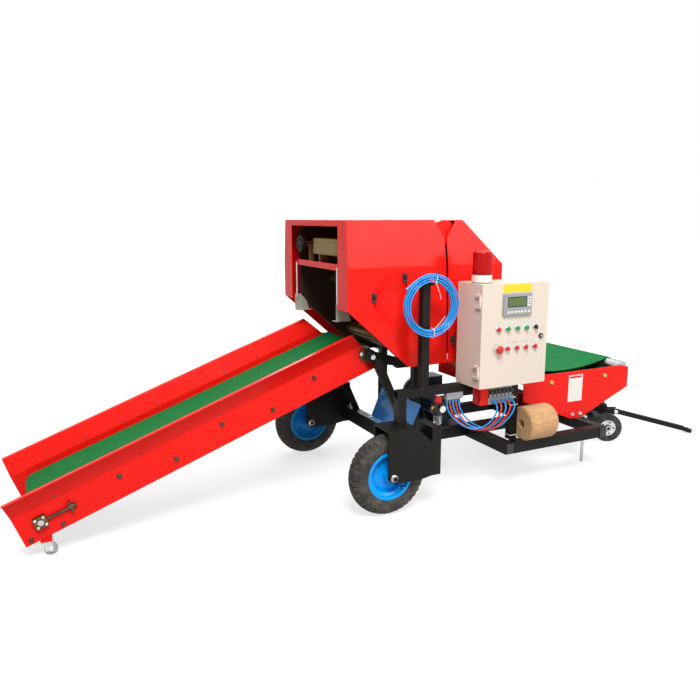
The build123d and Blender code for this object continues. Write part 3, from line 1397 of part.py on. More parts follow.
# Control cabinet
with BuildPart() as cabinet_box:
    span_box((CAB_X, BOX_FRONT_Y, CAB_Z), (CAB_X + CAB_W, BOX_BACK_Y, CAB_TOP))
    span_box(
        (CAB_X + CAB_WALL, BOX_FRONT_Y, CAB_Z + CAB_WALL),
        (CAB_X + CAB_W - CAB_WALL, BOX_BACK_Y - CAB_WALL, CAB_TOP - CAB_WALL),
        Mode.SUBTRACT,
    )
    for knuckle_z in KNUCKLES_Z:
        for arm_z in (knuckle_z - KNUCKLE_H / 2 - KNUCKLE_ARM, knuckle_z + KNUCKLE_H / 2):
            arm_top = arm_z + KNUCKLE_ARM - KNUCKLE_GAP
            span_box(
                (PIN_X - KNUCKLE_T, DOOR_PIVOT_Y - KNUCKLE_T, arm_z + KNUCKLE_GAP),
                (PIN_X + ARM_CLEAR, BOX_FRONT_Y, arm_top),
            )
            span_box(
                (PIN_X - KNUCKLE_T, BOX_FRONT_Y, arm_z + KNUCKLE_GAP),
                (CAB_X, BOX_FRONT_Y + KNUCKLE_FOOT, arm_top),
            )
        rod(
            (PIN_X, DOOR_PIVOT_Y, knuckle_z - KNUCKLE_H / 2 - KNUCKLE_PIN_OUT),
            (PIN_X, DOOR_PIVOT_Y, knuckle_z + KNUCKLE_H / 2 + KNUCKLE_PIN_OUT),
            DOOR_PIN_R,
        )
save(cabinet_box, "cabinet_box")
with BuildPart() as cabinet_plate:
    span_box(
        (CAB_X + PLATE_INSET, BOX_BACK_Y - PLATE_BACK, CAB_Z + PLATE_INSET),
        (CAB_X + CAB_W - PLATE_INSET, BOX_BACK_Y - CAB_WALL, CAB_TOP - PLATE_INSET),
    )
save(cabinet_plate, "cabinet_plate")
with BuildPart() as cabinet_door:
    span_box((CAB_X, CAB_FRONT_Y, CAB_Z), (CAB_X + CAB_W, CAB_FRONT_Y + DOOR_T, CAB_TOP))
    for knuckle_z in KNUCKLES_Z:
        low_z, high_z = knuckle_z - KNUCKLE_H / 2, knuckle_z + KNUCKLE_H / 2
        rod((PIN_X, DOOR_PIVOT_Y, low_z), (PIN_X, DOOR_PIVOT_Y, high_z), DOOR_PIN_R + KNUCKLE_WALL)
        span_box(
            (PIN_X, DOOR_PIVOT_Y - KNUCKLE_LEAF, low_z),
            (CAB_X + CAB_WALL, DOOR_PIVOT_Y + KNUCKLE_LEAF, high_z),
        )
        rod(
            (PIN_X, DOOR_PIVOT_Y, low_z), (PIN_X, DOOR_PIVOT_Y, high_z), DOOR_PIN_R + RUN_CLEAR, Mode.SUBTRACT
        )
save(cabinet_door, "cabinet_door")

with BuildPart() as door_controls:
    for row_z in BUTTON_ROWS:
        for column in range(BUTTON_COUNT):
            x = BUTTON_X + column * BUTTON_STEP
            rod((x, CAB_FRONT_Y, row_z), (x, CAB_FRONT_Y - BUTTON_RING_T, row_z), BUTTON_RING_R)
            rod((x, CAB_FRONT_Y, row_z), (x, CAB_FRONT_Y - BUTTON_T, row_z), BUTTON_R)
    stop_z = BUTTON_ROWS[-1]
    rod((BUTTON_X, CAB_FRONT_Y - BUTTON_T, stop_z), (BUTTON_X, CAB_FRONT_Y - STOP_T, stop_z), STOP_R)
    span_box((SCREEN_LEFT, CAB_FRONT_Y - SCREEN_T, SCREEN_LOW_Z), (SCREEN_RIGHT, CAB_FRONT_Y, SCREEN_TOP_Z))
    rod((LOCK_X, CAB_FRONT_Y, LOCK_Z), (LOCK_X, CAB_FRONT_Y - LOCK_T, LOCK_Z), LOCK_R)
save(door_controls, "door_controls")

with BuildPart() as beacon_base:
    rod((BEACON_X, BEACON_Y, CAB_TOP), (BEACON_X, BEACON_Y, BEACON_Z), BEACON_BASE_R)
save(beacon_base, "beacon_base")
with BuildPart() as beacon_lens:
    rod((BEACON_X, BEACON_Y, BEACON_Z), (BEACON_X, BEACON_Y, BEACON_Z + BEACON_H), BEACON_R)
    fillet(beacon_lens.edges().group_by(Axis.Z)[-1], BEACON_EDGE_R)
save(beacon_lens, "beacon_lens")

# Valve bank under the cabinet and the air unit under the beam
with BuildPart() as valve_bank:
    span_box(
        (VALVE_X, VALVE_Y, VALVE_LOW_Z), (VALVE_END_X, VALVE_Y + VALVE_DEPTH, VALVE_LOW_Z + VALVE_BASE_H)
    )
    for index in range(VALVE_COUNT):
        x = VALVE_X + VALVE_SIDE + index * VALVE_PITCH
        span_box(
            (x, VALVE_Y + VALVE_GAP, VALVE_LOW_Z + VALVE_BASE_H),
            (x + VALVE_PITCH - VALVE_GAP, VALVE_Y + VALVE_DEPTH - VALVE_GAP, CAB_Z - VALVE_TOP_H),
        )
    span_box((VALVE_X, VALVE_Y, CAB_Z - VALVE_TOP_H), (VALVE_END_X, VALVE_Y + VALVE_DEPTH, CAB_Z))
with BuildPart() as air_unit:
    span_box(
        (AIR_X - BEAM_W / 2, BEAM_Y - BEAM_W / 2, AIR_Z - AIR_BRACKET_T),
        (AIR_X + BEAM_W / 2, BEAM_Y + BEAM_W / 2, AIR_Z),
    )
    rod((AIR_X, BEAM_Y, AIR_BODY_TOP), (AIR_X, BEAM_Y, AIR_Z - AIR_BRACKET_T), AIR_KNOB_R)
    span_box(
        (AIR_X - AIR_BODY_HALF, BEAM_Y - AIR_BODY_HALF, AIR_BODY_LOW),
        (AIR_X + AIR_BODY_HALF, BEAM_Y + AIR_BODY_HALF, AIR_BODY_TOP),
    )
    rod((AIR_X, BEAM_Y, AIR_BOWL_LOW), (AIR_X, BEAM_Y, AIR_BODY_LOW), AIR_BOWL_R)
    gauge_z = (AIR_BODY_LOW + AIR_BODY_TOP) / 2
    gauge_y = BEAM_Y - AIR_BODY_HALF
    rod((AIR_X, gauge_y, gauge_z), (AIR_X, gauge_y - AIR_GAUGE_T, gauge_z), AIR_GAUGE_R)
save(air_unit, "air_unit")

# Twine ball on the near rail
with BuildPart() as twine_ball:
    rod((TWINE_X, TWINE_Y, TWINE_Z), (TWINE_X + TWINE_LEN, TWINE_Y, TWINE_Z), TWINE_R)
    fillet(twine_ball.edges().filter_by(GeomType.CIRCLE), TWINE_EDGE_R)
    rod((TWINE_X, TWINE_Y, TWINE_Z), (TWINE_X + TWINE_LEN, TWINE_Y, TWINE_Z), TWINE_CORE_R, Mode.SUBTRACT)
save(twine_ball, "twine_ball")

# Drop chute under the chamber and the drive motor behind it
with BuildPart() as drop_chute:
    with BuildSketch(Plane.XZ.offset(-CHUTE_FAR)):
        with BuildLine():
            Polyline(
                (CHUTE_X, CHUTE_Z),
                (CHUTE_X + CHUTE_FLAT + CHUTE_T, CHUTE_Z),
                (CHUTE_X + CHUTE_FLAT + CHUTE_RUN + CHUTE_T, CHUTE_Z + CHUTE_RISE),
                (CHUTE_X + CHUTE_FLAT + CHUTE_RUN, CHUTE_Z + CHUTE_RISE + CHUTE_T),
                (CHUTE_X + CHUTE_FLAT, CHUTE_Z + CHUTE_T),
                (CHUTE_X, CHUTE_Z + CHUTE_T),
                close=True,
            )
        make_face()
    extrude(amount=CHUTE_FAR + CHUTE_NEAR)
save(drop_chute, "drop_chute")
with BuildPart() as drive_motor:
    span_box(
        (MOTOR_X - MOTOR_PLATE_HALF, -SPINE_Y - RAIL_W / 2, RAIL_TOP),
        (MOTOR_X + MOTOR_PLATE_HALF, SPINE_Y + RAIL_W / 2, RAIL_TOP + MOTOR_PLATE_T),
    )
    for foot_y in MOTOR_FEET:
        span_box(
            (MOTOR_X - MOTOR_FOOT_HALF, foot_y, RAIL_TOP + MOTOR_PLATE_T),
            (MOTOR_X + MOTOR_FOOT_HALF, foot_y + MOTOR_FOOT_T, MOTOR_Z),
        )
    rod((MOTOR_X, MOTOR_NEAR_Y, MOTOR_Z), (MOTOR_X, MOTOR_FAR_Y, MOTOR_Z), MOTOR_R - MOTOR_FIN)
    for end_y in (MOTOR_NEAR_Y, MOTOR_FAR_Y - MOTOR_BELL):
        rod((MOTOR_X, end_y, MOTOR_Z), (MOTOR_X, end_y + MOTOR_BELL, MOTOR_Z), MOTOR_R)
    with Locations(Plane(origin=(MOTOR_X, MOTOR_MIDDLE_Y, MOTOR_Z), z_dir=(0, 1, 0))):
        with PolarLocations(MOTOR_R - MOTOR_FIN, MOTOR_FINS):
            Box(2 * MOTOR_FIN, MOTOR_FIN_T, MOTOR_FAR_Y - MOTOR_NEAR_Y - 2 * MOTOR_BELL)
    rod((MOTOR_X, MOTOR_FAR_Y, MOTOR_Z), (MOTOR_X, MOTOR_FAR_Y + MOTOR_SHAFT_L, MOTOR_Z), MOTOR_SHAFT_R)
    span_box(
        (MOTOR_X - TERMINAL_HALF, TERMINAL_NEAR_Y, MOTOR_Z + MOTOR_R - MOTOR_FIN),
        (MOTOR_X + TERMINAL_HALF, TERMINAL_FAR_Y, MOTOR_Z + MOTOR_R + TERMINAL_H),
    )
    span_box(
        (MOTOR_X - TERMINAL_HALF, TERMINAL_NEAR_Y, MOTOR_Z),
        (MOTOR_X + TERMINAL_HALF, TERMINAL_FAR_Y, MOTOR_Z + MOTOR_R - MOTOR_FIN),
    )
save(drive_motor, "drive_motor")

# Film stand on the far rail
with BuildPart() as film_mast:
    span_box(
        (TABLE_X - MAST_W / 2, MAST_Y - MAST_W / 2, RAIL_Z),
        (TABLE_X + MAST_W / 2, MAST_Y + MAST_W / 2, MAST_TOP),
    )
    span_box((TABLE_X - MAST_W / 2, OUTER_Y + RAIL_W / 2, RAIL_Z), (TABLE_X + MAST_W / 2, MAST_Y, RAIL_TOP))
    for arm_z in (FILM_LOW_Z - FILM_ARM_T, FILM_HIGH_Z):
        span_box((FILM_ARM_LEFT, FILM_ARM_IN, arm_z), (FILM_ARM_RIGHT, FILM_ARM_OUT, arm_z + FILM_ARM_T))
    rod((REEL_X, REEL_Y, FILM_LOW_Z - FILM_ARM_T), (REEL_X, REEL_Y, FILM_HIGH_Z + FILM_ARM_T), SPINDLE_R)
save(film_mast, "film_mast")
with BuildPart() as film_rollers:
    for roller_x in FILM_ROLLER_XS:
        rod((roller_x, FILM_ROLLER_Y, FILM_LOW_Z), (roller_x, FILM_ROLLER_Y, FILM_HIGH_Z), FILM_ROLLER_R)
save(film_rollers, "film_rollers")
with BuildPart() as film_reel:
    rod((REEL_X, REEL_Y, FILM_LOW_Z + REEL_END_GAP), (REEL_X, REEL_Y, FILM_HIGH_Z - REEL_END_GAP), REEL_R)
    rod((REEL_X, REEL_Y, FILM_LOW_Z), (REEL_X, REEL_Y, FILM_HIGH_Z), SPINDLE_R + RUN_CLEAR, Mode.SUBTRACT)
save(film_reel, "film_reel")

# Tailgate cylinder in the far side cover
cyl_start = Vector(CYL_BASE_X, CYL_Y, CYL_BASE_Z)
cyl_end = Vector(CYL_EYE_X, CYL_Y, CYL_EYE_Z)
cyl_way = (cyl_end - cyl_start).normalized()
CYL_LEN = (cyl_end - cyl_start).length
CYL_BARREL = CYL_LEN - CYL_OPEN


def on_cylinder(along):
    return tuple(cyl_start + cyl_way * along)


with BuildPart() as cylinder_barrel:
    rod(on_cylinder(CYL_NECK), on_cylinder(CYL_BARREL), CYL_R)
    rod(on_cylinder(CYL_NECK + CYL_WALL), on_cylinder(CYL_BARREL - CYL_GLAND), CYL_BORE_R, Mode.SUBTRACT)
    rod(on_cylinder(CYL_NECK + CYL_WALL), on_cylinder(CYL_BARREL), CYL_ROD_R + RUN_CLEAR, Mode.SUBTRACT)
    rod(
        (CYL_BASE_X, CYL_Y - CYL_EYE_HALF, CYL_BASE_Z),
        (CYL_BASE_X, CYL_Y + CYL_EYE_HALF, CYL_BASE_Z),
        CYL_EYE_R,
    )
    rod(on_cylinder(0), on_cylinder(CYL_NECK), CYL_NECK_R)
    rod(
        (CYL_BASE_X, CYL_Y - CYL_R, CYL_BASE_Z),
        (CYL_BASE_X, CYL_Y + CYL_R, CYL_BASE_Z),
        CYL_PIN_R + RUN_CLEAR,
        Mode.SUBTRACT,
    )
save(cylinder_barrel, "cylinder_barrel")
with BuildPart() as cylinder_rod:
    rod(on_cylinder(PISTON_U), on_cylinder(CYL_LEN - ROD_EYE_R / 2), CYL_ROD_R)
    rod(on_cylinder(PISTON_U), on_cylinder(PISTON_U + PISTON_L), CYL_BORE_R - RUN_CLEAR)
    rod((CYL_EYE_X, CYL_Y - ROD_EYE_HALF, CYL_EYE_Z), (CYL_EYE_X, CYL_Y + ROD_EYE_HALF, CYL_EYE_Z), ROD_EYE_R)
save(cylinder_rod, "cylinder_rod")
with BuildPart() as cylinder_studs:
    rod((CYL_BASE_X, FRONT_PLATE_OUT, CYL_BASE_Z), (CYL_BASE_X, CYL_Y + STUD_END, CYL_BASE_Z), CYL_PIN_R)
with BuildPart() as gate_boss:
    rod(
        (CYL_EYE_X, GATE_PLATE_Y + PLATE_T, CYL_EYE_Z),
        (CYL_EYE_X, CYL_Y - GATE_BOSS_GAP, CYL_EYE_Z),
        GATE_BOSS_R,
    )

# Air hoses: a tied hank on the post, and the loops between the valve bank and the block on the beam
with BuildPart() as hose_hank:
    with BuildSketch(Plane(origin=(HOSE_POST_X, HANK_Y, HANK_Z), x_dir=(0, 1, 0), z_dir=(1, 0, 0))):
        with Locations((0, HANK_R - HANK_BAND / 2)):
            RectangleRounded(HANK_DEPTH, HANK_BAND, HANK_EDGE_R)
    revolve(axis=Axis((HOSE_POST_X, HANK_Y, HANK_Z), (0, 1, 0)))
save(hose_hank, "hose_hank")

with BuildPart() as hose_ports:
    for index in range(len(HOSES)):
        x = HOSE_PORT_X + index * HOSE_STEP
        rod((x, VALVE_Y, HOSE_PORT_Z), (x, HOSE_PORT_Y, HOSE_PORT_Z), HOSE_PORT_R)
with BuildPart() as hose_block:
    block_end = BLOCK_X + (len(HOSES) - 1) * HOSE_END_STEP + BLOCK_SIDE
    span_box(
        (BLOCK_X - BLOCK_SIDE, BEAM_Y - BLOCK_HALF, BLOCK_Z),
        (block_end, BEAM_Y + BLOCK_HALF, BEAM_TOP_Z - BEAM_W),
    )
    for index in range(len(HOSES)):
        x = BLOCK_X + index * HOSE_END_STEP
        rod((x, BEAM_Y, BLOCK_Z), (x, BEAM_Y, HOSE_END_Z), HOSE_PORT_R)
save(hose_block, "hose_block")


def hose_route(index, low_z):
    start = Vector(HOSE_PORT_X + index * HOSE_STEP, HOSE_PORT_Y, HOSE_PORT_Z)
    end = Vector(BLOCK_X + index * HOSE_END_STEP, BEAM_Y, HOSE_END_Z)
    way = end.X - start.X
    drops = [start + Vector(share * way, out, height) for share, out, height in HOSE_DROPS]
    sags = [
        Vector(start.X + share * way, HOSE_PORT_Y + out, low_z + height)
        for share, out, height in HOSE_SAGS
    ]
    return (start, *drops, *sags, end + HOSE_RISE, end)


def bend_radii(points):
    radii = []
    for before, at, after in zip(points, points[1:], points[2:]):
        turn = (at - before).get_angle(after - at)
        shorter = min((at - before).length, (after - at).length)
        radii.append(HOSE_BEND * shorter / tan(radians(turn / 2)))
    return radii


def make_hoses(colour):
    with BuildPart() as hoses:
        for index, (hose_colour, low_z) in enumerate(HOSES):
            if hose_colour != colour:
                continue
            points = hose_route(index, low_z)
            radii = bend_radii(points)
            with BuildLine() as route:
                FilletPolyline(*points, radius=radii)
            path = route.wire()
            with BuildSketch(Plane(origin=path @ 0, z_dir=path % 0)):
                Circle(HOSE_R)
            sweep(path=path)
    return hoses


blue_hoses = make_hoses("blue")
save(blue_hoses, "blue_hoses")
red_hoses = make_hoses("red")
save(red_hoses, "red_hoses")

# Welded groups
WELDED = (
    ("wheel_boxes", (wheel_box_near, wheel_box_far, axle_pins)),
    ("chassis_frame", (chassis_frame, leg_sleeves, table_base)),
    ("chamber_stand", (chamber_stand, conveyor_arms)),
    ("cover_stays", (front_stays, cylinder_studs)),
    ("gate_stays", (gate_stays, gate_boss)),
    ("conveyor_trough", (conveyor_trough, caster_brackets)),
    ("side_beam", (side_beam, hose_post)),
    ("valve_bank", (valve_bank, hose_ports)),
    ("twine_unit", (twine_box, twine_pulley)),
)
for name, members in WELDED:
    with BuildPart() as group:
        for member in members:
            add(member.part)
    save(group, name)
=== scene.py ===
import random
from cmath import exp, phase
from itertools import product
from math import cos, pi, radians, sin

import bmesh
import bpy
from mathutils import Matrix, Vector


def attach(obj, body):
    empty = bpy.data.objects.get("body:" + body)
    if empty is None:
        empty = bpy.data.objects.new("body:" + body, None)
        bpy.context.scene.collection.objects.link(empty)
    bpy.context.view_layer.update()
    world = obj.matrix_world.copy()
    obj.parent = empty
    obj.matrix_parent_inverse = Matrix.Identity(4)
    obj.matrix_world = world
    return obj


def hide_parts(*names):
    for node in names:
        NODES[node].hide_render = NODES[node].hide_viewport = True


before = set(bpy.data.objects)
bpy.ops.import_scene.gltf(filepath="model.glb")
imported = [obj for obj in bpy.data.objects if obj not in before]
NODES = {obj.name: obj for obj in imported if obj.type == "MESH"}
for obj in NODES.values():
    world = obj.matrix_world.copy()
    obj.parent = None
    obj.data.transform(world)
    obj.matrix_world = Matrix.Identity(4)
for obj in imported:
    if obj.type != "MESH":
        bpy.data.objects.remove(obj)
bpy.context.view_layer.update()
SCENE = bpy.context.scene
SCENE.view_settings.view_transform = "Standard"

# Places from the part, in metres
AXLE_X = -0.398
WHEEL_R = 0.200
TRACK = 1.000
FRONT_X = AXLE_X - 0.161
COVER_HALF = 0.406
COVER_TOP_HALF = 0.384
COVER_TOP_Z = 1.399
CONV_TAIL = Vector((AXLE_X - 1.578, 0, 0.063))
CONV_ANGLE = radians(20.3)
CONV_HALF = 0.265
TABLE_X = AXLE_X + 1.283
CAB_X = AXLE_X + 0.410
CAB_Z = 0.605
CAB_H = 0.500
CAB_FRONT_Y = -0.660
BEAM_Y = -0.500
BEAM_TOP_Z = 0.605
BEAM_H = 0.040
POST_X = AXLE_X + 0.196
CAB_POST_X = AXLE_X + 0.745
POST_HALF = 0.020
KINGPIN_X = AXLE_X + 1.892
STEER = radians(-28.0)
X = Vector((1, 0, 0))
Y = Vector((0, 1, 0))
Z = Vector((0, 0, 1))
SIDES = (("near", -1), ("far", 1))

# Bolt sizes, and the angle in degrees from which an edge is sharp
M5 = 0.005
M6 = 0.006
M8 = 0.008
M10 = 0.010
SHARP = 35.0


def linear(red, green, blue):
    """sRGB 0 to 255 as the linear colour of a socket."""
    parts = []
    for value in (red, green, blue):
        share = value / 255
        parts.append(share / 12.92 if share <= 0.04045 else ((share + 0.055) / 1.055) ** 2.4)
    return (*parts, 1.0)


# Materials
CLOUD_LOW = 0.3
CLOUD_HIGH = 0.7
PAINT_GLOSS = 0.12
BELT_GLOSS = 0.15
EDGE_REACH = 0.004
WEAVE_SCALE = 120.0
# Pale patches on the rubber: partly dust, partly a painted highlight of the lit tread
DUST_AND_HIGHLIGHT = linear(116, 109, 97)
SCUFF = linear(60, 150, 100)


class Nodes:
    """A material's node tree with short calls."""

    def __init__(self, name):
        self.material = bpy.data.materials.new(name)
        self.material.use_nodes = True
        self.tree = self.material.node_tree
        self.shader = self.tree.nodes["Principled BSDF"]
        self.place = self.add("ShaderNodeTexCoord").outputs["Object"]

    def add(self, kind, sockets=None, **values):
        """A new node with values for its properties and sockets."""
        node = self.tree.nodes.new(kind)
        for key, value in values.items():
            setattr(node, key, value)
        for key, value in (sockets or {}).items():
            node.inputs[key].default_value = value
        return node

    def link(self, source, target):
        self.tree.links.new(source, target)

    def noise(self, scale, detail=3.0, stretch=None):
        node = self.add("ShaderNodeTexNoise", {"Scale": scale, "Detail": detail})
        source = self.place
        if stretch:
            mapping = self.add("ShaderNodeMapping", {"Scale": stretch})
            self.link(source, mapping.inputs["Vector"])
            source = mapping.outputs["Vector"]
        self.link(source, node.inputs["Vector"])
        return node.outputs["Fac"]

    def ramp(self, source, low, high, start=0.0, end=1.0):
        spans = {"From Min": low, "From Max": high, "To Min": start, "To Max": end}
        node = self.add("ShaderNodeMapRange", spans)
        self.link(source, node.inputs["Value"])
        return node.outputs["Result"]

    def multiply(self, first, second):
        node = self.add("ShaderNodeMath", operation="MULTIPLY")
        self.link(first, node.inputs[0])
        self.link(second, node.inputs[1])
        return node.outputs[0]

    def mix(self, share, first, second):
        """first and second are colours or outputs."""
        node = self.add("ShaderNodeMix", data_type="RGBA")
        self.link(share, node.inputs["Factor"])
        for value, socket in ((first, node.inputs[6]), (second, node.inputs[7])):
            if isinstance(value, tuple):
                socket.default_value = value
            else:
                self.link(value, socket)
        return node.outputs[2]

    def edges(self, radius):
        """How near a sharp edge is, from 0 to 1."""
        bevel = self.add("ShaderNodeBevel", {"Radius": radius}, samples=3)
        normal = self.add("ShaderNodeNewGeometry").outputs["Normal"]
        dot = self.add("ShaderNodeVectorMath", operation="DOT_PRODUCT")
        self.link(bevel.outputs["Normal"], dot.inputs[0])
        self.link(normal, dot.inputs[1])
        return self.ramp(dot.outputs["Value"], 0.995, 0.90)

    def finish(self, tint, rough, bump, **values):
        """Links tint, rough as (clouds, low, high) and bump as (height, strength, distance)."""
        clouds, low, high = rough
        height, strength, distance = bump
        relief = self.add("ShaderNodeBump", {"Strength": strength, "Distance": distance})
        self.link(height, relief.inputs["Height"])
        self.link(relief.outputs["Normal"], self.shader.inputs["Normal"])
        self.link(self.ramp(clouds, CLOUD_LOW, CLOUD_HIGH, low, high), self.shader.inputs["Roughness"])
        self.link(tint, self.shader.inputs["Base Color"])
        for key, value in values.items():
            self.shader.inputs[key.replace("_", " ")].default_value = value
        return self.material


def shade(colour, share):
    """A darker or lighter colour."""
    return (*(min(1.0, part * share) for part in colour[:3]), 1.0)


def paint(name, rgb, rough=0.32, worn=None, wear=0.6, peel=0.05, coat=0.0, spread=0.10):
    """Sprayed metal: faint clouds, orange peel, and rubbed edges where worn gives the colour below."""
    nodes = Nodes(name)
    colour = linear(*rgb)
    tint = nodes.mix(nodes.noise(2.3, 4.0), shade(colour, 1 - spread), shade(colour, 1 + spread))
    fine = nodes.noise(55.0, 5.0)
    tint = nodes.mix(nodes.ramp(fine, 0.62, 0.80, 0.0, 0.35), tint, shade(colour, 0.72))
    if worn:
        patches = nodes.ramp(nodes.noise(38.0, 6.0), 0.52, 0.66, 0.0, wear)
        tint = nodes.mix(nodes.multiply(nodes.edges(EDGE_REACH), patches), tint, linear(*worn))
    clouds = (nodes.noise(14.0, 5.0), rough - 0.04, rough + 0.06)
    relief = (nodes.noise(420.0, 2.0), peel, 0.0015)
    return nodes.finish(tint, clouds, relief, Coat_Weight=coat, Specular_IOR_Level=PAINT_GLOSS)


def metal(name, rgb, rough=0.35, brushed=None, spots=0.25):
    """Bare metal with clouds of tarnish; brushed stretches its grain."""
    nodes = Nodes(name)
    colour = linear(*rgb)
    cloud = nodes.noise(24.0, 6.0)
    tint = nodes.mix(nodes.ramp(cloud, 0.35, 0.75), shade(colour, 1 + spots), shade(colour, 1 - spots))
    relief = (nodes.noise(300.0, 3.0, brushed), 0.10, 0.001)
    return nodes.finish(tint, (cloud, rough - 0.08, rough + 0.12), relief, Metallic=1.0)


def plastic(name, rgb, rough=0.38, grain=700.0, strength=0.05, spread=0.05, **values):
    """Moulded plastic with a fine grain; values go to the shader."""
    nodes = Nodes(name)
    colour = linear(*rgb)
    tint = nodes.mix(nodes.noise(9.0, 4.0), shade(colour, 1 - spread), shade(colour, 1 + spread))
    clouds = (nodes.noise(30.0, 4.0), rough - 0.05, rough + 0.07)
    return nodes.finish(tint, clouds, (nodes.noise(grain, 2.0), strength, 0.001), **values)


def rubber(name, rgb):
    """Dull rubber with pale patches: partly dust, partly a painted highlight standing in for the lit tread.
    """
    nodes = Nodes(name)
    # Mask of the pale patches: partly dust, partly painted highlight
    dust_and_highlight = nodes.ramp(nodes.noise(26.0, 6.0), 0.45, 0.80, 0.0, 0.55)
    tint = nodes.mix(dust_and_highlight, linear(*rgb), DUST_AND_HIGHLIGHT)
    return nodes.finish(tint, (nodes.noise(60.0, 3.0), 0.62, 0.86), (nodes.noise(500.0, 4.0), 0.18, 0.0015))


def belting(name, rgb):
    """Conveyor belt: a fine woven print across and along, with long scuffs."""
    nodes = Nodes(name)
    colour = linear(*rgb)
    tint = nodes.mix(nodes.noise(5.0, 5.0, (1.0, 4.0, 1.0)), shade(colour, 0.82), shade(colour, 1.18))
    scuff = nodes.ramp(nodes.noise(16.0, 7.0, (0.4, 5.0, 0.4)), 0.60, 0.80, 0.0, 0.15)
    tint = nodes.mix(scuff, tint, SCUFF)
    threads = []
    for direction in "YX":
        wave = nodes.add("ShaderNodeTexWave", {"Scale": WEAVE_SCALE}, bands_direction=direction)
        nodes.link(nodes.place, wave.inputs["Vector"])
        threads.append(wave.outputs["Fac"])
    clouds = (nodes.noise(40.0, 3.0), 0.62, 0.80)
    weave = (nodes.multiply(*threads), 0.35, 0.0008)
    return nodes.finish(tint, clouds, weave, Specular_IOR_Level=BELT_GLOSS)


def fibre(name, rgb):
    """Sisal twine: strands laid side by side, light and dark."""
    nodes = Nodes(name)
    colour = linear(*rgb)
    strand = nodes.noise(130.0, 6.0, (0.25, 1.0, 1.0))
    tint = nodes.mix(nodes.ramp(strand, 0.35, 0.65), shade(colour, 0.76), shade(colour, 1.12))
    return nodes.finish(tint, (strand, 0.75, 0.95), (strand, 0.6, 0.002), Sheen_Weight=0.3)


def clear(name, rgb, rough=0.12, weight=0.85, gloss=0.5):
    """Tinted clear plastic; weight is the share of light that passes."""
    nodes = Nodes(name)
    colour = linear(*rgb)
    tint = nodes.mix(nodes.noise(20.0, 3.0), shade(colour, 0.92), colour)
    clouds = (nodes.noise(50.0, 3.0), rough - 0.04, rough + 0.08)
    relief = (nodes.noise(90.0, 2.0), 0.04, 0.001)
    values = {"Transmission_Weight": weight, "IOR": 1.46, "Specular_IOR_Level": gloss}
    return nodes.finish(tint, clouds, relief, **values)


RED = paint("red_paint", (246, 30, 22), 0.20, (120, 40, 30), 0.5, peel=0.02)
RED_DARK = paint("red_primer", (196, 26, 20), 0.42, (90, 34, 28), 0.5)
BLACK = paint("black_paint", (28, 27, 24), 0.40, (104, 98, 90), 0.55)
BLUE = paint("blue_paint", (2, 164, 250), 0.26, (70, 110, 150), 0.4, coat=0.15)
CREAM = paint("cream_powder", (227, 212, 196), 0.42, None, peel=0.10, spread=0.03)
CHUTE = paint("blue_sheet", (74, 162, 250), 0.18, (70, 90, 120), 0.4, coat=0.3)
INTERIOR = paint("dark_interior", (58, 44, 36), 0.55, (120, 104, 86), 0.4)
MOTOR_BLUE = paint("motor_blue", (38, 46, 66), 0.35, (90, 96, 110), 0.4, coat=0.2)
PALE_GREY = paint("pale_grey", (166, 166, 152), 0.50, (150, 150, 145), 0.5)
TYRE = rubber("tyre_rubber", (40, 38, 35))
BELT = belting("green_belt", (6, 114, 56))
STEEL = metal("steel", (176, 178, 180), 0.30, (1.0, 12.0, 1.0))
ZINC = metal("zinc", (196, 198, 200), 0.34)
DARK_STEEL = metal("dark_steel", (78, 72, 64), 0.45)
BEARING = metal("bearing_cast", (96, 82, 54), 0.50)
OLIVE = paint("olive_paint", (140, 122, 68), 0.36, (190, 180, 140), 0.4)
ROLLER = metal("roller_steel", (120, 104, 66), 0.48, (1.0, 10.0, 1.0))
TWINE = fibre("twine", (208, 160, 110))
CARD = fibre("cardboard", (150, 118, 82))
WHITE = plastic("white_plastic", (236, 234, 226), 0.35)
BLACK_PLASTIC = plastic("black_plastic", (26, 26, 27), 0.42)
GREY_PLASTIC = plastic("grey_plastic", (150, 154, 156), 0.45)
DARK_GREY = plastic("dark_grey_plastic", (74, 78, 82), 0.45)
YELLOW = plastic("yellow_label", (245, 208, 30), 0.40)
RED_PLASTIC = plastic("red_plastic", (206, 14, 18), 0.22)
GREEN_PLASTIC = plastic("green_plastic", (20, 150, 84), 0.22)
LCD = plastic("lcd", (86, 108, 52), 0.20)
LENS = clear("beacon_lens_red", (208, 2, 6), 0.20, 0.45, 0.05)
BOWL = clear("clear_bowl", (226, 232, 234), 0.08, 0.9)
CASTER = plastic("caster_grey", (176, 180, 176), 0.30, Transmission_Weight=0.15)
FILM = plastic("wrap_film", (150, 214, 196), 0.18, grain=260.0, strength=0.12)
HOSE_BLUE = plastic("hose_blue", (16, 150, 226), 0.16, Subsurface_Weight=0.15, Subsurface_Scale=0.003)
HOSE_RED = plastic("hose_red", (226, 44, 34), 0.16, Subsurface_Weight=0.15, Subsurface_Scale=0.003)
BRASS = metal("brass", (196, 160, 88), 0.30)


# Mesh code
def arc(first, middle, last, steps):
    """Points on the arc through three points of a plane, both ends included."""
    start, way, end = (complex(*point) for point in (first, middle, last))
    share = (end - start) / (way - start)
    centre = start + (way - start) * (share - abs(share) ** 2) / (2j * share.imag)
    opening = phase(start - centre)
    turn = (phase(end - centre) - opening) % (2 * pi)
    if (phase(way - centre) - opening) % (2 * pi) > turn:
        turn -= 2 * pi
    spots = [centre + (start - centre) * exp(1j * turn * step / steps) for step in range(steps + 1)]
    return [(spot.real, spot.imag) for spot in spots]


def mirror(profile, length=0.0):
    """The other end of a profile of (along, radius), so that the two halves span length."""
    return [(length - along, radius) for along, radius in reversed(profile)]


def basis(axis):
    """A rotation that takes +Z to axis."""
    return Vector(axis).normalized().to_track_quat("Z", "Y").to_matrix().to_4x4()


def upright(angle):
    """The direction at an angle in the upright plane along the machine."""
    return Vector((cos(angle), 0, sin(angle)))


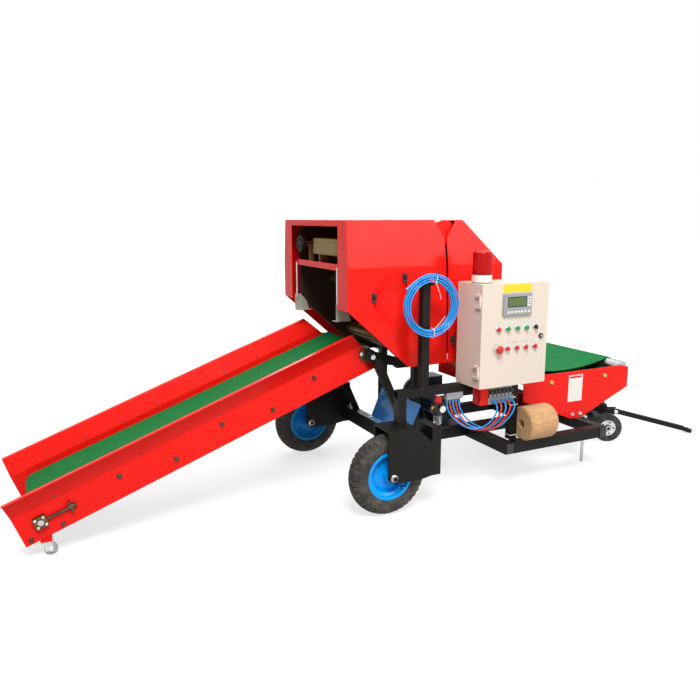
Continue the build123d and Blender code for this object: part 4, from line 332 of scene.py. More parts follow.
class Shape:
    """Collects solids into one mesh, with a material for each."""

    def __init__(self):
        self.mesh = bmesh.new()
        self.materials = []
        self.current = 0

    def use(self, material):
        """Sets the material of what comes next."""
        if material not in self.materials:
            self.materials.append(material)
        self.current = self.materials.index(material)
        return self

    def colour(self, faces):
        for face in faces:
            face.material_index = self.current
            face.smooth = True

    def skin(self, rings, closed=False, capped=False):
        """Faces from each ring of points to the next; a ring of one point is a tip."""
        count = max(map(len, rings))
        loops = [[self.mesh.verts.new(point) for point in ring] for ring in rings]
        loops = [loop if len(loop) > 1 else loop * count for loop in loops]
        faces = []
        for loop, after in zip(loops, loops[1:] + loops[:closed]):
            for step in range(count):
                face = list(dict.fromkeys((loop[step - 1], loop[step], after[step], after[step - 1])))
                if len(face) > 2:
                    faces.append(self.mesh.faces.new(face))
        if capped:
            faces += [self.mesh.faces.new(loop) for loop in (loops[0][::-1], loops[-1])]
        self.colour(faces)
        return self

    def box(self, low, high, bevel=0.001, turn=None):
        """A box between two corners, its edges cut by bevel, turned by a matrix if one is given."""
        low, high = Vector(map(min, low, high)), Vector(map(max, low, high))
        size = high - low
        place = Matrix.Translation((low + high) / 2) @ (turn or Matrix()) @ Matrix.Diagonal((*size, 1))
        corners = bmesh.ops.create_cube(self.mesh, size=1, matrix=place)["verts"]
        edges = list(dict.fromkeys(edge for corner in corners for edge in corner.link_edges))
        bevel = min(bevel, 0.45 * min(size))
        made = bmesh.ops.bevel(self.mesh, geom=edges, offset=bevel, segments=1, affect="EDGES")
        self.colour(face for point in made["verts"] for face in point.link_faces)
        return self

    def lathe(self, origin, axis, profile, count=40, radius_at=None):
        """Turns a profile of (along, radius) round an axis; radius_at may change a radius by angle."""
        turn, origin = basis(axis), Vector(origin)
        rings = []
        for along, radius in profile:
            ring = []
            for step in range(count if radius > 1e-6 else 1):
                angle = 2 * pi * step / count
                r = radius_at(along, radius, angle) if radius_at else radius
                ring.append(origin + turn @ Vector((r * cos(angle), r * sin(angle), along)))
            rings.append(ring)
        return self.skin(rings)

    def bar(self, start, end, radius, bevel=0.001, count=24):
        """A round bar between two points."""
        way = Vector(end) - Vector(start)
        bevel = min(bevel, radius * 0.5, way.length * 0.4)
        half = [(0, 0), (0, radius - bevel), (bevel, radius)]
        return self.lathe(start, way, half + mirror(half, way.length), count)

    def thread(self, start, end, radius, pitch, count=20):
        """A threaded rod between two points."""
        way = Vector(end) - Vector(start)
        turns = round(way.length / pitch)
        step = way.length / turns
        profile = [(0, 0)]
        for turn in range(turns):
            profile += [(turn * step, radius * 0.88), ((turn + 0.5) * step, radius)]
        profile += [(way.length, radius * 0.88), (way.length, 0)]
        return self.lathe(start, way, profile, count)

    def ring(self, origin, axis, outer, inner, length, bevel=0.001, count=32):
        """A tube from origin along axis."""
        half = [(bevel, inner), (0, inner + bevel), (0, outer - bevel), (bevel, outer)]
        return self.lathe(origin, axis, half + mirror(half, length) + half[:1], count)

    def hexagon(self, origin, axis, across, height):
        """A hexagon head or nut with its corners turned off."""
        radius = across / 2 / cos(pi / 6)
        profile = ((0, 0), (0, radius), (height * 0.8, radius), (height, radius * 0.84), (height, 0))
        return self.lathe(origin, axis, profile, 6)

    def bolt(self, origin, axis, size, washer=True):
        """A bolt head of thread size on its washer, standing on a face."""
        way = Vector(axis).normalized()
        lift = 0.0
        if washer:
            self.bar(origin, Vector(origin) + way * size * 0.2, size * 1.05, size * 0.04)
            lift = size * 0.2
        return self.hexagon(Vector(origin) + way * lift, axis, size * 1.7, size * 0.65)

    def pipe(self, points, radius, count=10, closed=False):
        """A round bar through points."""
        points = [Vector(point) for point in points]
        before = points[-1:] + points[:-1] if closed else points[:1] + points[:-1]
        after = points[1:] + (points[:1] if closed else points[-1:])
        side = (after[0] - before[0]).orthogonal()
        rings = []
        for last, point, following in zip(before, points, after):
            way = (following - last).normalized()
            side = (side - way * side.dot(way)).normalized()
            other = way.cross(side)
            turns = (2 * pi * step / count for step in range(count))
            rings.append([point + (side * cos(turn) + other * sin(turn)) * radius for turn in turns])
        return self.skin(rings, closed, not closed)

    def plate(self, outline, start, end, bevel=0.0008):
        """A flat plate: outline of (x, z) points between two y values."""
        low, high = min(start, end), max(start, end)
        middle_x, middle_z = (sum(values) / len(outline) for values in zip(*outline))
        rings = []
        for y, inset in ((low, bevel), (low + bevel, 0), (high - bevel, 0), (high, bevel)):
            ring = []
            for x, z in outline:
                away = Vector((x - middle_x, 0, z - middle_z))
                away.length -= inset
                ring.append((middle_x + away.x, y, middle_z + away.z))
            rings.append(ring)
        return self.skin(rings, capped=True)

    def place(self, name, body, slot, replaces=(), sharp=SHARP):
        """Ends the mesh and sets it on its body."""
        bmesh.ops.remove_doubles(self.mesh, verts=self.mesh.verts, dist=1e-6)
        bmesh.ops.recalc_face_normals(self.mesh, faces=self.mesh.faces)
        data = bpy.data.meshes.new(name)
        self.mesh.to_mesh(data)
        self.mesh.free()
        for material in self.materials:
            data.materials.append(material)
        data.set_sharp_from_angle(angle=radians(sharp))
        piece = bpy.data.objects.new(name, data)
        SCENE.collection.objects.link(piece)
        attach(piece, body)
        if replaces:
            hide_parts(*replaces)
        return piece


def dress(names, material, bevel, folds):
    """Gives CAD nodes a material and soft edges; from an angle of folds on, bends show as lines."""
    for name in names.split():
        node = NODES[name]
        node.data.materials.clear()
        node.data.materials.append(material)
        if bevel:
            weld = node.modifiers.new("weld", "WELD")
            weld.merge_threshold = 0.00001
            edge = node.modifiers.new("bevel", "BEVEL")
            edge.width = bevel
            edge.segments = 2
            edge.limit_method = "ANGLE"
            edge.angle_limit = radians(SHARP)
            if folds:
                node.modifiers.new("folds", "EDGE_SPLIT").split_angle = radians(folds)
            else:
                node.modifiers.new("normals", "WEIGHTED_NORMAL")


# Camera, light and floor
PHOTO_W = 700.0
FOCAL_PX = 681.424
SENSOR = 36.0
PITCH = -10.671
HEADING = -26.169
camera = bpy.data.objects.new("camera", bpy.data.cameras.new("camera"))
camera.location = (-1.928, -3.214, 1.408)
camera.rotation_euler = (radians(90 + PITCH), 0, radians(HEADING))
camera.data.sensor_fit = "HORIZONTAL"
camera.data.sensor_width = SENSOR
camera.data.lens = FOCAL_PX * SENSOR / PHOTO_W
SCENE.collection.objects.link(camera)
SCENE.camera = camera


def lamp(name, place, aim, size, power):
    """An area lamp of size at place, turned to aim."""
    light = bpy.data.lights.new(name, "AREA")
    light.shape = "RECTANGLE"
    light.size, light.size_y = size
    light.energy = power
    holder = bpy.data.objects.new(name, light)
    holder.location = place
    holder.rotation_euler = (Vector(aim) - Vector(place)).to_track_quat("-Z", "Y").to_euler()
    SCENE.collection.objects.link(holder)


lamp("key", (-1.8, -4.2, 5.6), (0.0, 0.0, 0.6), (2.2, 2.2), 390)
lamp("fill", (2.7, -5.5, 2.35), (-0.3, -0.4, 1.2), (3.6, 1.2), 90)
lamp("top", (0.0, 0.6, 5.2), (0.0, 0.0, 0.5), (5.0, 4.0), 110)
lamp("back", (1.5, 4.5, 3.2), (0.0, 0.0, 0.6), (4.0, 2.5), 90)


def backdrop_share(tree):
    """1 for the rays that see the plain backdrop: camera, glossy and transmission."""
    path = tree.nodes.new("ShaderNodeLightPath")
    share = path.outputs["Is Camera Ray"]
    for kind in ("Is Glossy Ray", "Is Transmission Ray"):
        either = tree.nodes.new("ShaderNodeMath")
        either.operation = "MAXIMUM"
        tree.links.new(share, either.inputs[0])
        tree.links.new(path.outputs[kind], either.inputs[1])
        share = either.outputs[0]
    return share


SKY_LIGHT = 0.26
FLOOR_HALF = 40
FLOOR_TINTS = ((0.42, 0.42, 0.42, 1), (0.45, 0.45, 0.45, 1))
GLOW_NEAR = 0.68
GLOW_FAR = 0.97
GLOW_START = 2.0
GLOW_END = 8.0
world = bpy.data.worlds.new("studio")
SCENE.world = world
world.use_nodes = True
tree = world.node_tree
sky = tree.nodes["Background"]
sky.inputs["Color"].default_value = (1, 1, 1, 1)
strength = tree.nodes.new("ShaderNodeMapRange")
strength.inputs["To Min"].default_value = SKY_LIGHT
strength.inputs["To Max"].default_value = 1.0
tree.links.new(backdrop_share(tree), strength.inputs["Value"])
tree.links.new(strength.outputs["Result"], sky.inputs["Strength"])

floor_nodes = Nodes("floor_white")
floor_tint = floor_nodes.mix(floor_nodes.noise(1.5), *FLOOR_TINTS)
floor_nodes.link(floor_tint, floor_nodes.shader.inputs["Base Color"])
floor_nodes.shader.inputs["Roughness"].default_value = 0.9
floor_nodes.shader.inputs["Emission Color"].default_value = (1, 1, 1, 1)
away = floor_nodes.add("ShaderNodeVectorMath", operation="LENGTH")
floor_nodes.link(floor_nodes.place, away.inputs[0])
fade = floor_nodes.ramp(away.outputs["Value"], GLOW_START, GLOW_END, GLOW_NEAR, GLOW_FAR)
glow = floor_nodes.multiply(backdrop_share(floor_nodes.tree), fade)
floor_nodes.link(glow, floor_nodes.shader.inputs["Emission Strength"])
floor_data = bpy.data.meshes.new("floor")
corners = [(x * FLOOR_HALF, y * FLOOR_HALF, 0) for x, y in ((-1, -1), (1, -1), (1, 1), (-1, 1))]
floor_data.from_pydata(corners, [], [(0, 1, 2, 3)])
floor_data.materials.append(floor_nodes.material)
floor = bpy.data.objects.new("floor", floor_data)
SCENE.collection.objects.link(floor)

# Air hoses
HOSE_D = 0.008


def hose(name, points, material, nodes):
    """A hose through points on the chassis, which leaves from the first one."""
    data = bpy.data.curves.new(name, "CURVE")
    data.dimensions = "3D"
    data.bevel_depth = HOSE_D / 2
    data.bevel_resolution = 3
    data.resolution_u = 6
    data.use_fill_caps = True
    spline = data.splines.new("NURBS")
    spline.points.add(len(points) - 1)
    for knot, point in zip(spline.points, points):
        knot.co = (*point, 1.0)
    spline.order_u = 3
    spline.use_endpoint_u = True
    data.materials.append(material)
    piece = bpy.data.objects.new(name, data)
    SCENE.collection.objects.link(piece)
    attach(piece, "chassis")
    if nodes:
        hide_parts(*nodes)


VALVE_X = CAB_X + 0.110
VALVE_Y = CAB_FRONT_Y + 0.070
VALVE_LOW_Z = CAB_Z - 0.105
PORT = Vector((VALVE_X + 0.024, VALVE_Y - 0.014, VALVE_LOW_Z + 0.017))
PORT_STEP = 0.027
BLOCK_X = AXLE_X + 0.335
BLOCK_H = 0.035
BLOCK_PORT_H = 0.015
BLOCK_END_Z = BEAM_TOP_Z - BEAM_H - BLOCK_H - BLOCK_PORT_H
BLOCK_STEP = 0.018
HOSE_TABLE = (  # colour, lowest height, length
    (HOSE_BLUE, 0.395, 0.413),
    (HOSE_RED, 0.385, 0.433),
    (HOSE_BLUE, 0.390, 0.432),
    (HOSE_RED, 0.378, 0.455),
    (HOSE_BLUE, 0.384, 0.453),
)
for index, (material, low, length) in enumerate(HOSE_TABLE):
    start_x = PORT.x + index * PORT_STEP
    end_x = BLOCK_X + index * BLOCK_STEP
    way = end_x - start_x
    route = (
        (start_x, PORT.y, PORT.z),
        (start_x, PORT.y - 0.024, PORT.z - 0.008),
        (start_x + 0.03 * way, PORT.y - 0.038, PORT.z - 0.034),
        (start_x + 0.12 * way, PORT.y - 0.036, PORT.z - 0.074),
        (start_x + 0.35 * way, PORT.y - 0.016, low),
        (start_x + 0.65 * way, PORT.y + 0.022, low - 0.005),
        (start_x + 0.88 * way, PORT.y + 0.064, low + 0.034),
        (end_x - 0.004, BEAM_Y - 0.012, BLOCK_END_Z - 0.040),
        (end_x, BEAM_Y, BLOCK_END_Z),
    )
    node = {0: ("blue_hoses",), 1: ("red_hoses",)}.get(index, ())
    hose(f"hose_{index + 1}", route, material, node)

# The spare hose: nine turns in a tied ring on the post's peg, its free end out at the upper left
PEG_Z = 1.108
PEG_R = 0.006
HANK_GAP = 0.0003
HANK_R = 0.146
HANK_BAND = 0.038
HANK_Y = BEAM_Y - 0.050
HANK_Z = PEG_Z + PEG_R + HANK_GAP - (HANK_R - HANK_BAND)
HANK = Vector((POST_X, HANK_Y, HANK_Z))
HANK_STEPS = 20
HANK_LOOSE_R = 0.0012
HANK_LOOSE_Y = 0.0010
HANK_SLOTS = (  # radius, depth of each turn, and of the free end where it leaves them
    (0.1150, 0.011),
    (0.1265, 0.012),
    (0.1385, 0.010),
    (0.1395, 0.000),
    (0.1270, 0.001),
    (0.1150, -0.001),
    (0.1160, -0.012),
    (0.1280, -0.012),
    (0.1395, -0.011),
    (0.1505, -0.012),
)
HANK_END = (  # x, y, z from the ring's middle
    (-0.004, -0.013, 0.1500),
    (-0.046, -0.014, 0.1435),
    (-0.096, -0.016, 0.1190),
    (-0.142, -0.016, 0.0840),
)
rng = random.Random(4)
hank_points = []
for (radius, depth), (next_radius, next_depth) in zip(HANK_SLOTS, HANK_SLOTS[1:]):
    for step in range(HANK_STEPS):
        share = step / HANK_STEPS
        angle = radians(90) + 2 * pi * share
        blend = share * share * (3 - 2 * share)
        r = radius + (next_radius - radius) * blend + rng.uniform(-HANK_LOOSE_R, HANK_LOOSE_R)
        y = depth + (next_depth - depth) * blend + rng.uniform(-HANK_LOOSE_Y, HANK_LOOSE_Y)
        hank_points.append((POST_X + r * cos(angle), HANK_Y + y, HANK_Z + r * sin(angle)))
hank_points += [(POST_X + x, HANK_Y + y, HANK_Z + z) for x, y, z in HANK_END]

TIE_R = 0.0016
TIE_TAIL_R = 0.0013
TIE_DEPTH = 0.0195
TIE_STEPS = 24
KNOT_IN = 0.005
KNOT_OUT = 0.0150
TIES = (  # name, angle, radius of its middle, half height, tail
    ("hank_tie_top", 80.0, 0.127, 0.0210, (0.026, -0.006, -0.078)),
    ("hank_tie_low", -84.0, 0.130, 0.0240, (0.058, -0.006, 0.060)),
)
for name, degrees, radius, half, tail in TIES:
    way = upright(radians(degrees))
    centre = HANK + way * radius
    turns = [2 * pi * step / TIE_STEPS for step in range(TIE_STEPS)]
    loop = [centre + way * (half * cos(turn)) + Y * (TIE_DEPTH * sin(turn)) for turn in turns]
    strap = Shape().use(WHITE).pipe(loop, TIE_R, 8, True)
    knot = centre - way * (half - KNOT_IN) - Y * KNOT_OUT
    strap.box(knot - Vector((0.004, 0.004, 0.003)), knot + Vector((0.004, 0.003, 0.003)))
    strap.pipe((knot, knot + Vector(tail) * 0.5 - Y * 0.004, knot + Vector(tail)), TIE_TAIL_R, 8)
    strap.place(name, "chassis", "white_plastic")
hose("hose_hank_turns", hank_points, HOSE_BLUE, ("hose_hank",))

# Running gear: block tread, tyre valves, axle nuts, end caps and leg threads
FORK_HALF = 0.075
TREAD_BLOCKS = 40
TREAD_STEPS = 8
TREAD_RIB = 0.015
TREAD_GROOVE = 0.0045
TREAD_DEPTH = 0.006
TREAD_LOW_R = 0.176
RIB_CUT = 0.13
BLOCK_CUT = 0.20
BEAD = [(0.035, 0.121), (0.035, 0.112)]
SIDEWALL = arc((-0.042, 0.121), (-0.052, 0.152), (-0.038, 0.184), 9)
CROWN = arc((-0.038, 0.184), (0.0, WHEEL_R), (0.038, 0.184), 38)
TYRE_PROFILE = mirror(BEAD) + SIDEWALL + CROWN[1:-1] + mirror(SIDEWALL) + BEAD + mirror(BEAD[1:])
STEM = Vector((0.070, 0, -0.068))
STEM_OUT = 0.022
STEM_CAP = 0.018
STEM_END = 0.026
WASHER_T = 0.0025
END_CAP_X = (AXLE_X + 0.691, AXLE_X + 1.341)
END_CAP_Y = 0.565
END_CAP_Z = 0.238
END_CAP_HALF = Vector((0.023, 0, 0.028))
END_CAP_T = 0.004
LEG_X = AXLE_X + 1.380
LEG_Y = 0.382
LEG_NUT_Z = 0.268
LEG_TOP = 0.012
LEG_R = 0.009
LEG_PITCH = 0.004


def tread(along, radius, angle):
    """The tyre's radius with the grooves beside its rib and between its blocks."""
    if radius < TREAD_LOW_R:
        return radius
    wide = abs(along)
    place = TREAD_BLOCKS * angle / (2 * pi) + (0.5 if along > 0 else 0.0)
    if wide < TREAD_RIB:
        cut = (place + wide / TREAD_RIB) % 1 < RIB_CUT
    else:
        cut = wide < TREAD_RIB + TREAD_GROOVE or place % 1 < BLOCK_CUT
    return radius - min(TREAD_DEPTH, radius - TREAD_LOW_R) if cut else radius


fittings = Shape()
for side, sign in SIDES:
    hub = Vector((AXLE_X, sign * TRACK / 2, WHEEL_R))
    out = Y * sign
    tyre = Shape().use(TYRE)
    tyre.lathe(hub, Y, TYRE_PROFILE, TREAD_BLOCKS * TREAD_STEPS, tread)
    tyre.place(f"tread_{side}", f"wheel_{side}", "tyre", (f"tyre_{side}",), 30.0)
    valve = hub + STEM + out * STEM_OUT
    trim = Shape().use(BLACK_PLASTIC).bar(valve, valve + out * STEM_CAP, 0.0040)
    trim.use(BRASS).bar(valve + out * STEM_CAP, valve + out * STEM_END, 0.0033)
    trim.place(f"wheel_valve_{side}", f"wheel_{side}", "steel")
    for face in (-Y, Y):
        seat = hub + face * FORK_HALF
        fittings.use(ZINC).bar(seat, seat + face * WASHER_T, 0.018)
        fittings.hexagon(seat + face * WASHER_T, face, 0.029, 0.0085)
    for x in END_CAP_X:
        end = Vector((x, sign * END_CAP_Y, END_CAP_Z))
        fittings.use(BLACK_PLASTIC).box(end - END_CAP_HALF, end + END_CAP_HALF + out * END_CAP_T, 0.0015)
    sleeve = Vector((LEG_X, sign * LEG_Y, LEG_NUT_Z))
    fittings.use(ZINC).ring(sleeve, Z, 0.0175, 0.0112, 0.010, 0.0012, 6)
    screw = Shape().use(STEEL).thread(sleeve - Z * LEG_NUT_Z, sleeve + Z * LEG_TOP, LEG_R, LEG_PITCH)
    screw.place(f"leg_thread_{side}", f"leg_{side}", "steel", (f"leg_screw_{side}",), 60.0)

# Weld seams round the feet and heads of the posts
SEAM_STEPS = 12
SEAM_R = 0.0028
SEAM_RIPPLE = 0.0008
NEAR_POST_X = AXLE_X + 0.070
WELDS = (  # x, z, half width
    (NEAR_POST_X, 0.433, 0.022),
    (NEAR_POST_X, 0.565, 0.022),
    (POST_X, BEAM_TOP_Z, POST_HALF),
    (CAB_POST_X, 0.276, POST_HALF),
    (CAB_POST_X, 0.565, POST_HALF),
)
fittings.use(BLACK)
for x, z, half in WELDS:
    seam = []
    for step in range(4 * SEAM_STEPS):
        along = 2 * (step % SEAM_STEPS) / SEAM_STEPS - 1
        reach = half + SEAM_RIPPLE * (step % 2)
        quarter = Matrix.Rotation(pi / 2 * (step // SEAM_STEPS), 2)
        spot = quarter @ Vector((along * reach, -reach))
        seam.append((x + spot.x, BEAM_Y + spot.y, z))
    fittings.pipe(seam, SEAM_R, 8, True)

# White ties round the cabinet's post
POST_TIE_T = 0.0015
POST_TIE_W = 0.005
fittings.use(WHITE)
for z in (0.290, 0.454):
    top = z + POST_TIE_W
    for face in (-1, 1):
        x, y = CAB_POST_X + face * POST_HALF, BEAM_Y + face * POST_HALF
        over, reach = face * POST_TIE_T, POST_HALF + POST_TIE_T
        fittings.box((x, BEAM_Y - reach, z), (x + over, BEAM_Y + reach, top), 0.0004)
        fittings.box((CAB_POST_X - reach, y, z), (CAB_POST_X + reach, y + over, top), 0.0004)

# Chute bolts
for y in (-0.250, -0.130, -0.010, 0.095):
    fittings.use(ZINC).bolt((AXLE_X + 0.232, y, 0.291), Z, M8)
fittings.place("frame_fittings", "chassis", "steel")


# Conveyor: wall bolts, rivets, bearing bolts and take-up screws
def on_belt(u, y, w):
    """A point by its way along the conveyor, its y and its height over the floor of the trough."""
    along = Vector((cos(CONV_ANGLE), 0, sin(CONV_ANGLE)))
    up = Vector((-sin(CONV_ANGLE), 0, cos(CONV_ANGLE)))
    return CONV_TAIL + along * u + up * w + Y * y


HEAD_U = 1.730
TAIL_U = 0.095
DRUM_W = 0.078
WALL_BOLTS = 5
WALL_BOLT_U = 0.447
WALL_BOLT_STEP = 0.245
WALL_BOLT_W = (0.098, 0.049)
FOOT_BOLT_U = (0.030, 0.165)
FOOT_BOLT_W = 0.020
FLANGE_BOLT = Vector((0.040 * cos(radians(35)), 0.040 * sin(radians(35))))
FLANGE_T = 0.008
LUG_U = TAIL_U + 0.130
LUG_HALF = 0.004
SCREW_OUT = 0.010
SCREW_U = (0.121, 0.248)
SLIDE_OUT = 0.020
SLIDE_BOLT = 0.017
RIVETS = 8
RIVET_U = 0.183
RIVET_STEP = 0.1905
RIVET_W = 0.150
RIVET_OUT = 0.004
FLARE_UP = 0.402
FLARE_IN = 0.915
UP = on_belt(0, 0, 1) - on_belt(0, 0, 0)
ALONG = on_belt(1, 0, 0) - on_belt(0, 0, 0)
hardware = Shape()
for side, sign in SIDES:
    out = Y * sign
    wall = sign * CONV_HALF
    hardware.use(DARK_STEEL)
    for index in range(WALL_BOLTS):
        seat = on_belt(WALL_BOLT_U + WALL_BOLT_STEP * index, wall, WALL_BOLT_W[index % 2])
        hardware.bolt(seat, out, 0.011)
    for u in FOOT_BOLT_U:
        hardware.bolt(on_belt(u, wall, FOOT_BOLT_W), out, M10)
    inward = UP * FLARE_UP - out * FLARE_IN
    for index in range(RIVETS):
        rivet = on_belt(RIVET_U + RIVET_STEP * index, wall + sign * RIVET_OUT, RIVET_W)
        hardware.bar(rivet - inward * 0.0020, rivet + inward * 0.0060, 0.0045, 0.0015, 16)
    screw_y = wall + sign * SCREW_OUT
    start, end = (on_belt(u, screw_y, DRUM_W) for u in SCREW_U)
    hardware.thread(start, end, 0.0066, 0.003)
    for end in (-1, 1):
        hardware.hexagon(on_belt(LUG_U + end * LUG_HALF, screw_y, DRUM_W), ALONG * end, 0.019, 0.009)
    hardware.use(ZINC)
    for end in (-1, 1):
        seat_u, seat_w = HEAD_U + end * FLANGE_BOLT.x, DRUM_W - end * FLANGE_BOLT.y
        hardware.bolt(on_belt(seat_u, wall + sign * FLANGE_T, seat_w), out, M10)
    for u, w in product((-SLIDE_BOLT, SLIDE_BOLT), repeat=2):
        hardware.bolt(on_belt(TAIL_U + u, wall + sign * SLIDE_OUT, DRUM_W + w), out, M6, False)
hardware.place("conveyor_hardware", "conveyor", "steel")

CASTER_X = CONV_TAIL.x + 0.094
CASTER_Y = 0.235
CASTER_R = 0.027
CASTER_FORK = 0.0145
for side, sign in SIDES:
    wheel = Vector((CASTER_X, sign * CASTER_Y, CASTER_R))
    nuts = Shape().use(ZINC)
    for face in (-Y, Y):
        nuts.hexagon(wheel + face * CASTER_FORK, face, 0.015, 0.006)
    nuts.place(f"caster_nuts_{side}", f"caster_{side}", "steel")

# Covers: latches on the sides, bolts along the roof
LATCHES = (  # body, x, z
    ("chassis", AXLE_X - 0.025, 1.040),
    ("chassis", AXLE_X + 0.140, 1.129),
    ("chassis", AXLE_X + 0.324, 1.125),
    ("tailgate", AXLE_X + 0.424, 0.806),
)
ROOF_BOLTS = (  # body, x
    ("chassis", AXLE_X - 0.120),
    ("chassis", AXLE_X + 0.080),
    ("chassis", AXLE_X + 0.270),
    ("tailgate", AXLE_X + 0.460),
)
ROOF_BOLT_Y = COVER_TOP_HALF - 0.015


def latch(shape, x, z, sign):
    """A turning latch on a cover's side: base, boss, lever and screw."""

    def spot(dx, out, dz):
        return (x + dx, sign * (COVER_HALF + out), z + dz)

    shape.use(BLACK_PLASTIC).box(spot(-0.012, 0, -0.022), spot(0.012, 0.006, 0.022), 0.003)
    shape.bar(spot(0, 0, 0.008), spot(0, 0.016, 0.008), 0.009, 0.002)
    shape.box(spot(-0.004, 0.012, -0.024), spot(0.004, 0.020, 0.014), 0.002)
    shape.use(ZINC).bar(spot(0, 0, -0.015), spot(0, 0.0075, -0.015), 0.003)


for body, name in (("chassis", "cover_fasteners"), ("tailgate", "gate_fasteners")):
    fasteners = Shape()
    for side, sign in SIDES:
        for holder, x, z in LATCHES:
            if holder == body:
                latch(fasteners, x, z, sign)
        for holder, x in ROOF_BOLTS:
            if holder == body:
                fasteners.use(ZINC).bolt((x, sign * ROOF_BOLT_Y, COVER_TOP_Z), Z, M6)
    fasteners.place(name, body, "black_plastic")

# Twine unit on its tray: geared box on two feet, and the hand pulley on its bracket
MOUTH_X = FRONT_X + 0.020
TRAY_Z = 1.1661
TWINE_BOX_X = MOUTH_X + 0.090
TWINE_BOX_Y = (-0.250, 0.040)
TWINE_BOX_Z = TRAY_Z + 0.062
TWINE_BOX_H = 0.080
FOOT_X = (MOUTH_X + 0.020, MOUTH_X + 0.070)
FOOT_W = 0.020
BRACKET_X = MOUTH_X + 0.045
BRACKET_HALF = 0.012
PULLEY = Vector((MOUTH_X, 0.200, TRAY_Z + 0.109))
PULLEY_HALF = 0.012
PULLEY_R = 0.042
SPOKES = 3
SPOKE = Vector((0.036, 0.004, 0.010))
unit = Shape().use(OLIVE)
near_y, far_y = TWINE_BOX_Y
unit.box((MOUTH_X, near_y, TWINE_BOX_Z), (TWINE_BOX_X, far_y, TWINE_BOX_Z + TWINE_BOX_H), 0.004)
for y in (-0.230, 0.0):
    unit.box((FOOT_X[0], y, TRAY_Z), (FOOT_X[1], y + FOOT_W, TWINE_BOX_Z + 0.002), 0.002)
for y in (near_y + 0.014, far_y - 0.014):
    for z in (0.014, TWINE_BOX_H - 0.014):
        unit.bolt((MOUTH_X, y, TWINE_BOX_Z + z), -X, M6)
pulley_y = PULLEY.y
unit.box((BRACKET_X, pulley_y - BRACKET_HALF, TRAY_Z), (FOOT_X[1], pulley_y + BRACKET_HALF, PULLEY.z), 0.002)
unit.use(BLACK)
unit.ring(PULLEY - X * PULLEY_HALF, X, PULLEY_R, PULLEY_R - 0.012, 2 * PULLEY_HALF, 0.003, 48)
for spoke in range(SPOKES):
    turn = basis(X) @ Matrix.Rotation(pi / SPOKES * spoke, 4, "Z")
    unit.box(PULLEY - SPOKE, PULLEY + SPOKE, 0.002, turn)
unit.bar(PULLEY - X * PULLEY_HALF, PULLEY + X * PULLEY_HALF, 0.016, 0.002)
unit.use(STEEL).bar(PULLEY, PULLEY + X * 0.090, 0.012)
unit.place("twine_gear", "chassis", "olive_paint", ("twine_unit",))

# Guide rods that hang from the tray, each with a bent plate at its foot
GUIDE_X = MOUTH_X - 0.0048
GUIDE_Y = 0.258
GUIDE_LOW_Z = 0.914
GUIDE_R = 0.0045
GUIDE_T = 0.004
GUIDE_FOLD = 0.040
GUIDE_BACK = 0.070
GUIDE_LIP = -0.010
GUIDE_H = 0.086
GUIDE_PLATE = (  # x from the rod, height
    (GUIDE_LIP, 0.000),
    (GUIDE_BACK, 0.000),
    (0.058, 0.046),
    (0.022, GUIDE_H),
    (GUIDE_LIP, GUIDE_H),
)
guides = Shape()
for side, sign in SIDES:
    foot = Vector((GUIDE_X, sign * GUIDE_Y, GUIDE_LOW_Z))
    inner, outer = (foot.y + sign * reach for reach in (GUIDE_R, GUIDE_R + GUIDE_T))
    guides.use(ZINC).bar(foot + Z * 0.070, (GUIDE_X, foot.y, TRAY_Z + 0.008), GUIDE_R)
    guides.use(PALE_GREY).plate([(foot.x + x, foot.z + z) for x, z in GUIDE_PLATE], inner, outer)
    fold_y = foot.y - sign * GUIDE_FOLD
    guides.box((foot.x + GUIDE_LIP, outer, foot.z), (foot.x + GUIDE_BACK, fold_y, foot.z + 0.003), 0.0008)
guides.place("twine_guides", "chassis", "steel")


# Cabinet door: buttons with blank tags, screen, blank label and lock
def on_door(x, z, out=0.0):
    """A point by its place on the door, out from its face."""
    return Vector((CAB_X + x, CAB_FRONT_Y - out, CAB_Z + z))


BUTTON_X = 0.098
BUTTON_STEP = 0.056
BUTTON_ROWS = (  # height, colours
    (0.283, (RED_PLASTIC, GREEN_PLASTIC, GREEN_PLASTIC, GREEN_PLASTIC, BLACK_PLASTIC)),
    (0.187, (RED_PLASTIC, RED_PLASTIC, RED_PLASTIC, RED_PLASTIC, RED_PLASTIC)),
)
SELECTOR_X = BUTTON_X + 4 * BUTTON_STEP
STOP_Z = BUTTON_ROWS[1][0]
LOCK_X = 0.360
LOCK_Z = 0.235
BUTTON_CAP = ((0, 0), (0, 0.0108), (0.0132, 0.0108), (0.0150, 0.0096), (0.0160, 0.0060), (0.0160, 0))
MUSHROOM = ((0.0140, 0), (0.0140, 0.0110), (0.0165, 0.0180), (0.0185, 0.0200))
MUSHROOM += ((0.0235, 0.0198), (0.0275, 0.0165), (0.0300, 0.0090), (0.0300, 0))
LOCK_SHAPE = ((0, 0), (0, 0.013), (0.006, 0.013), (0.008, 0.011), (0.008, 0))
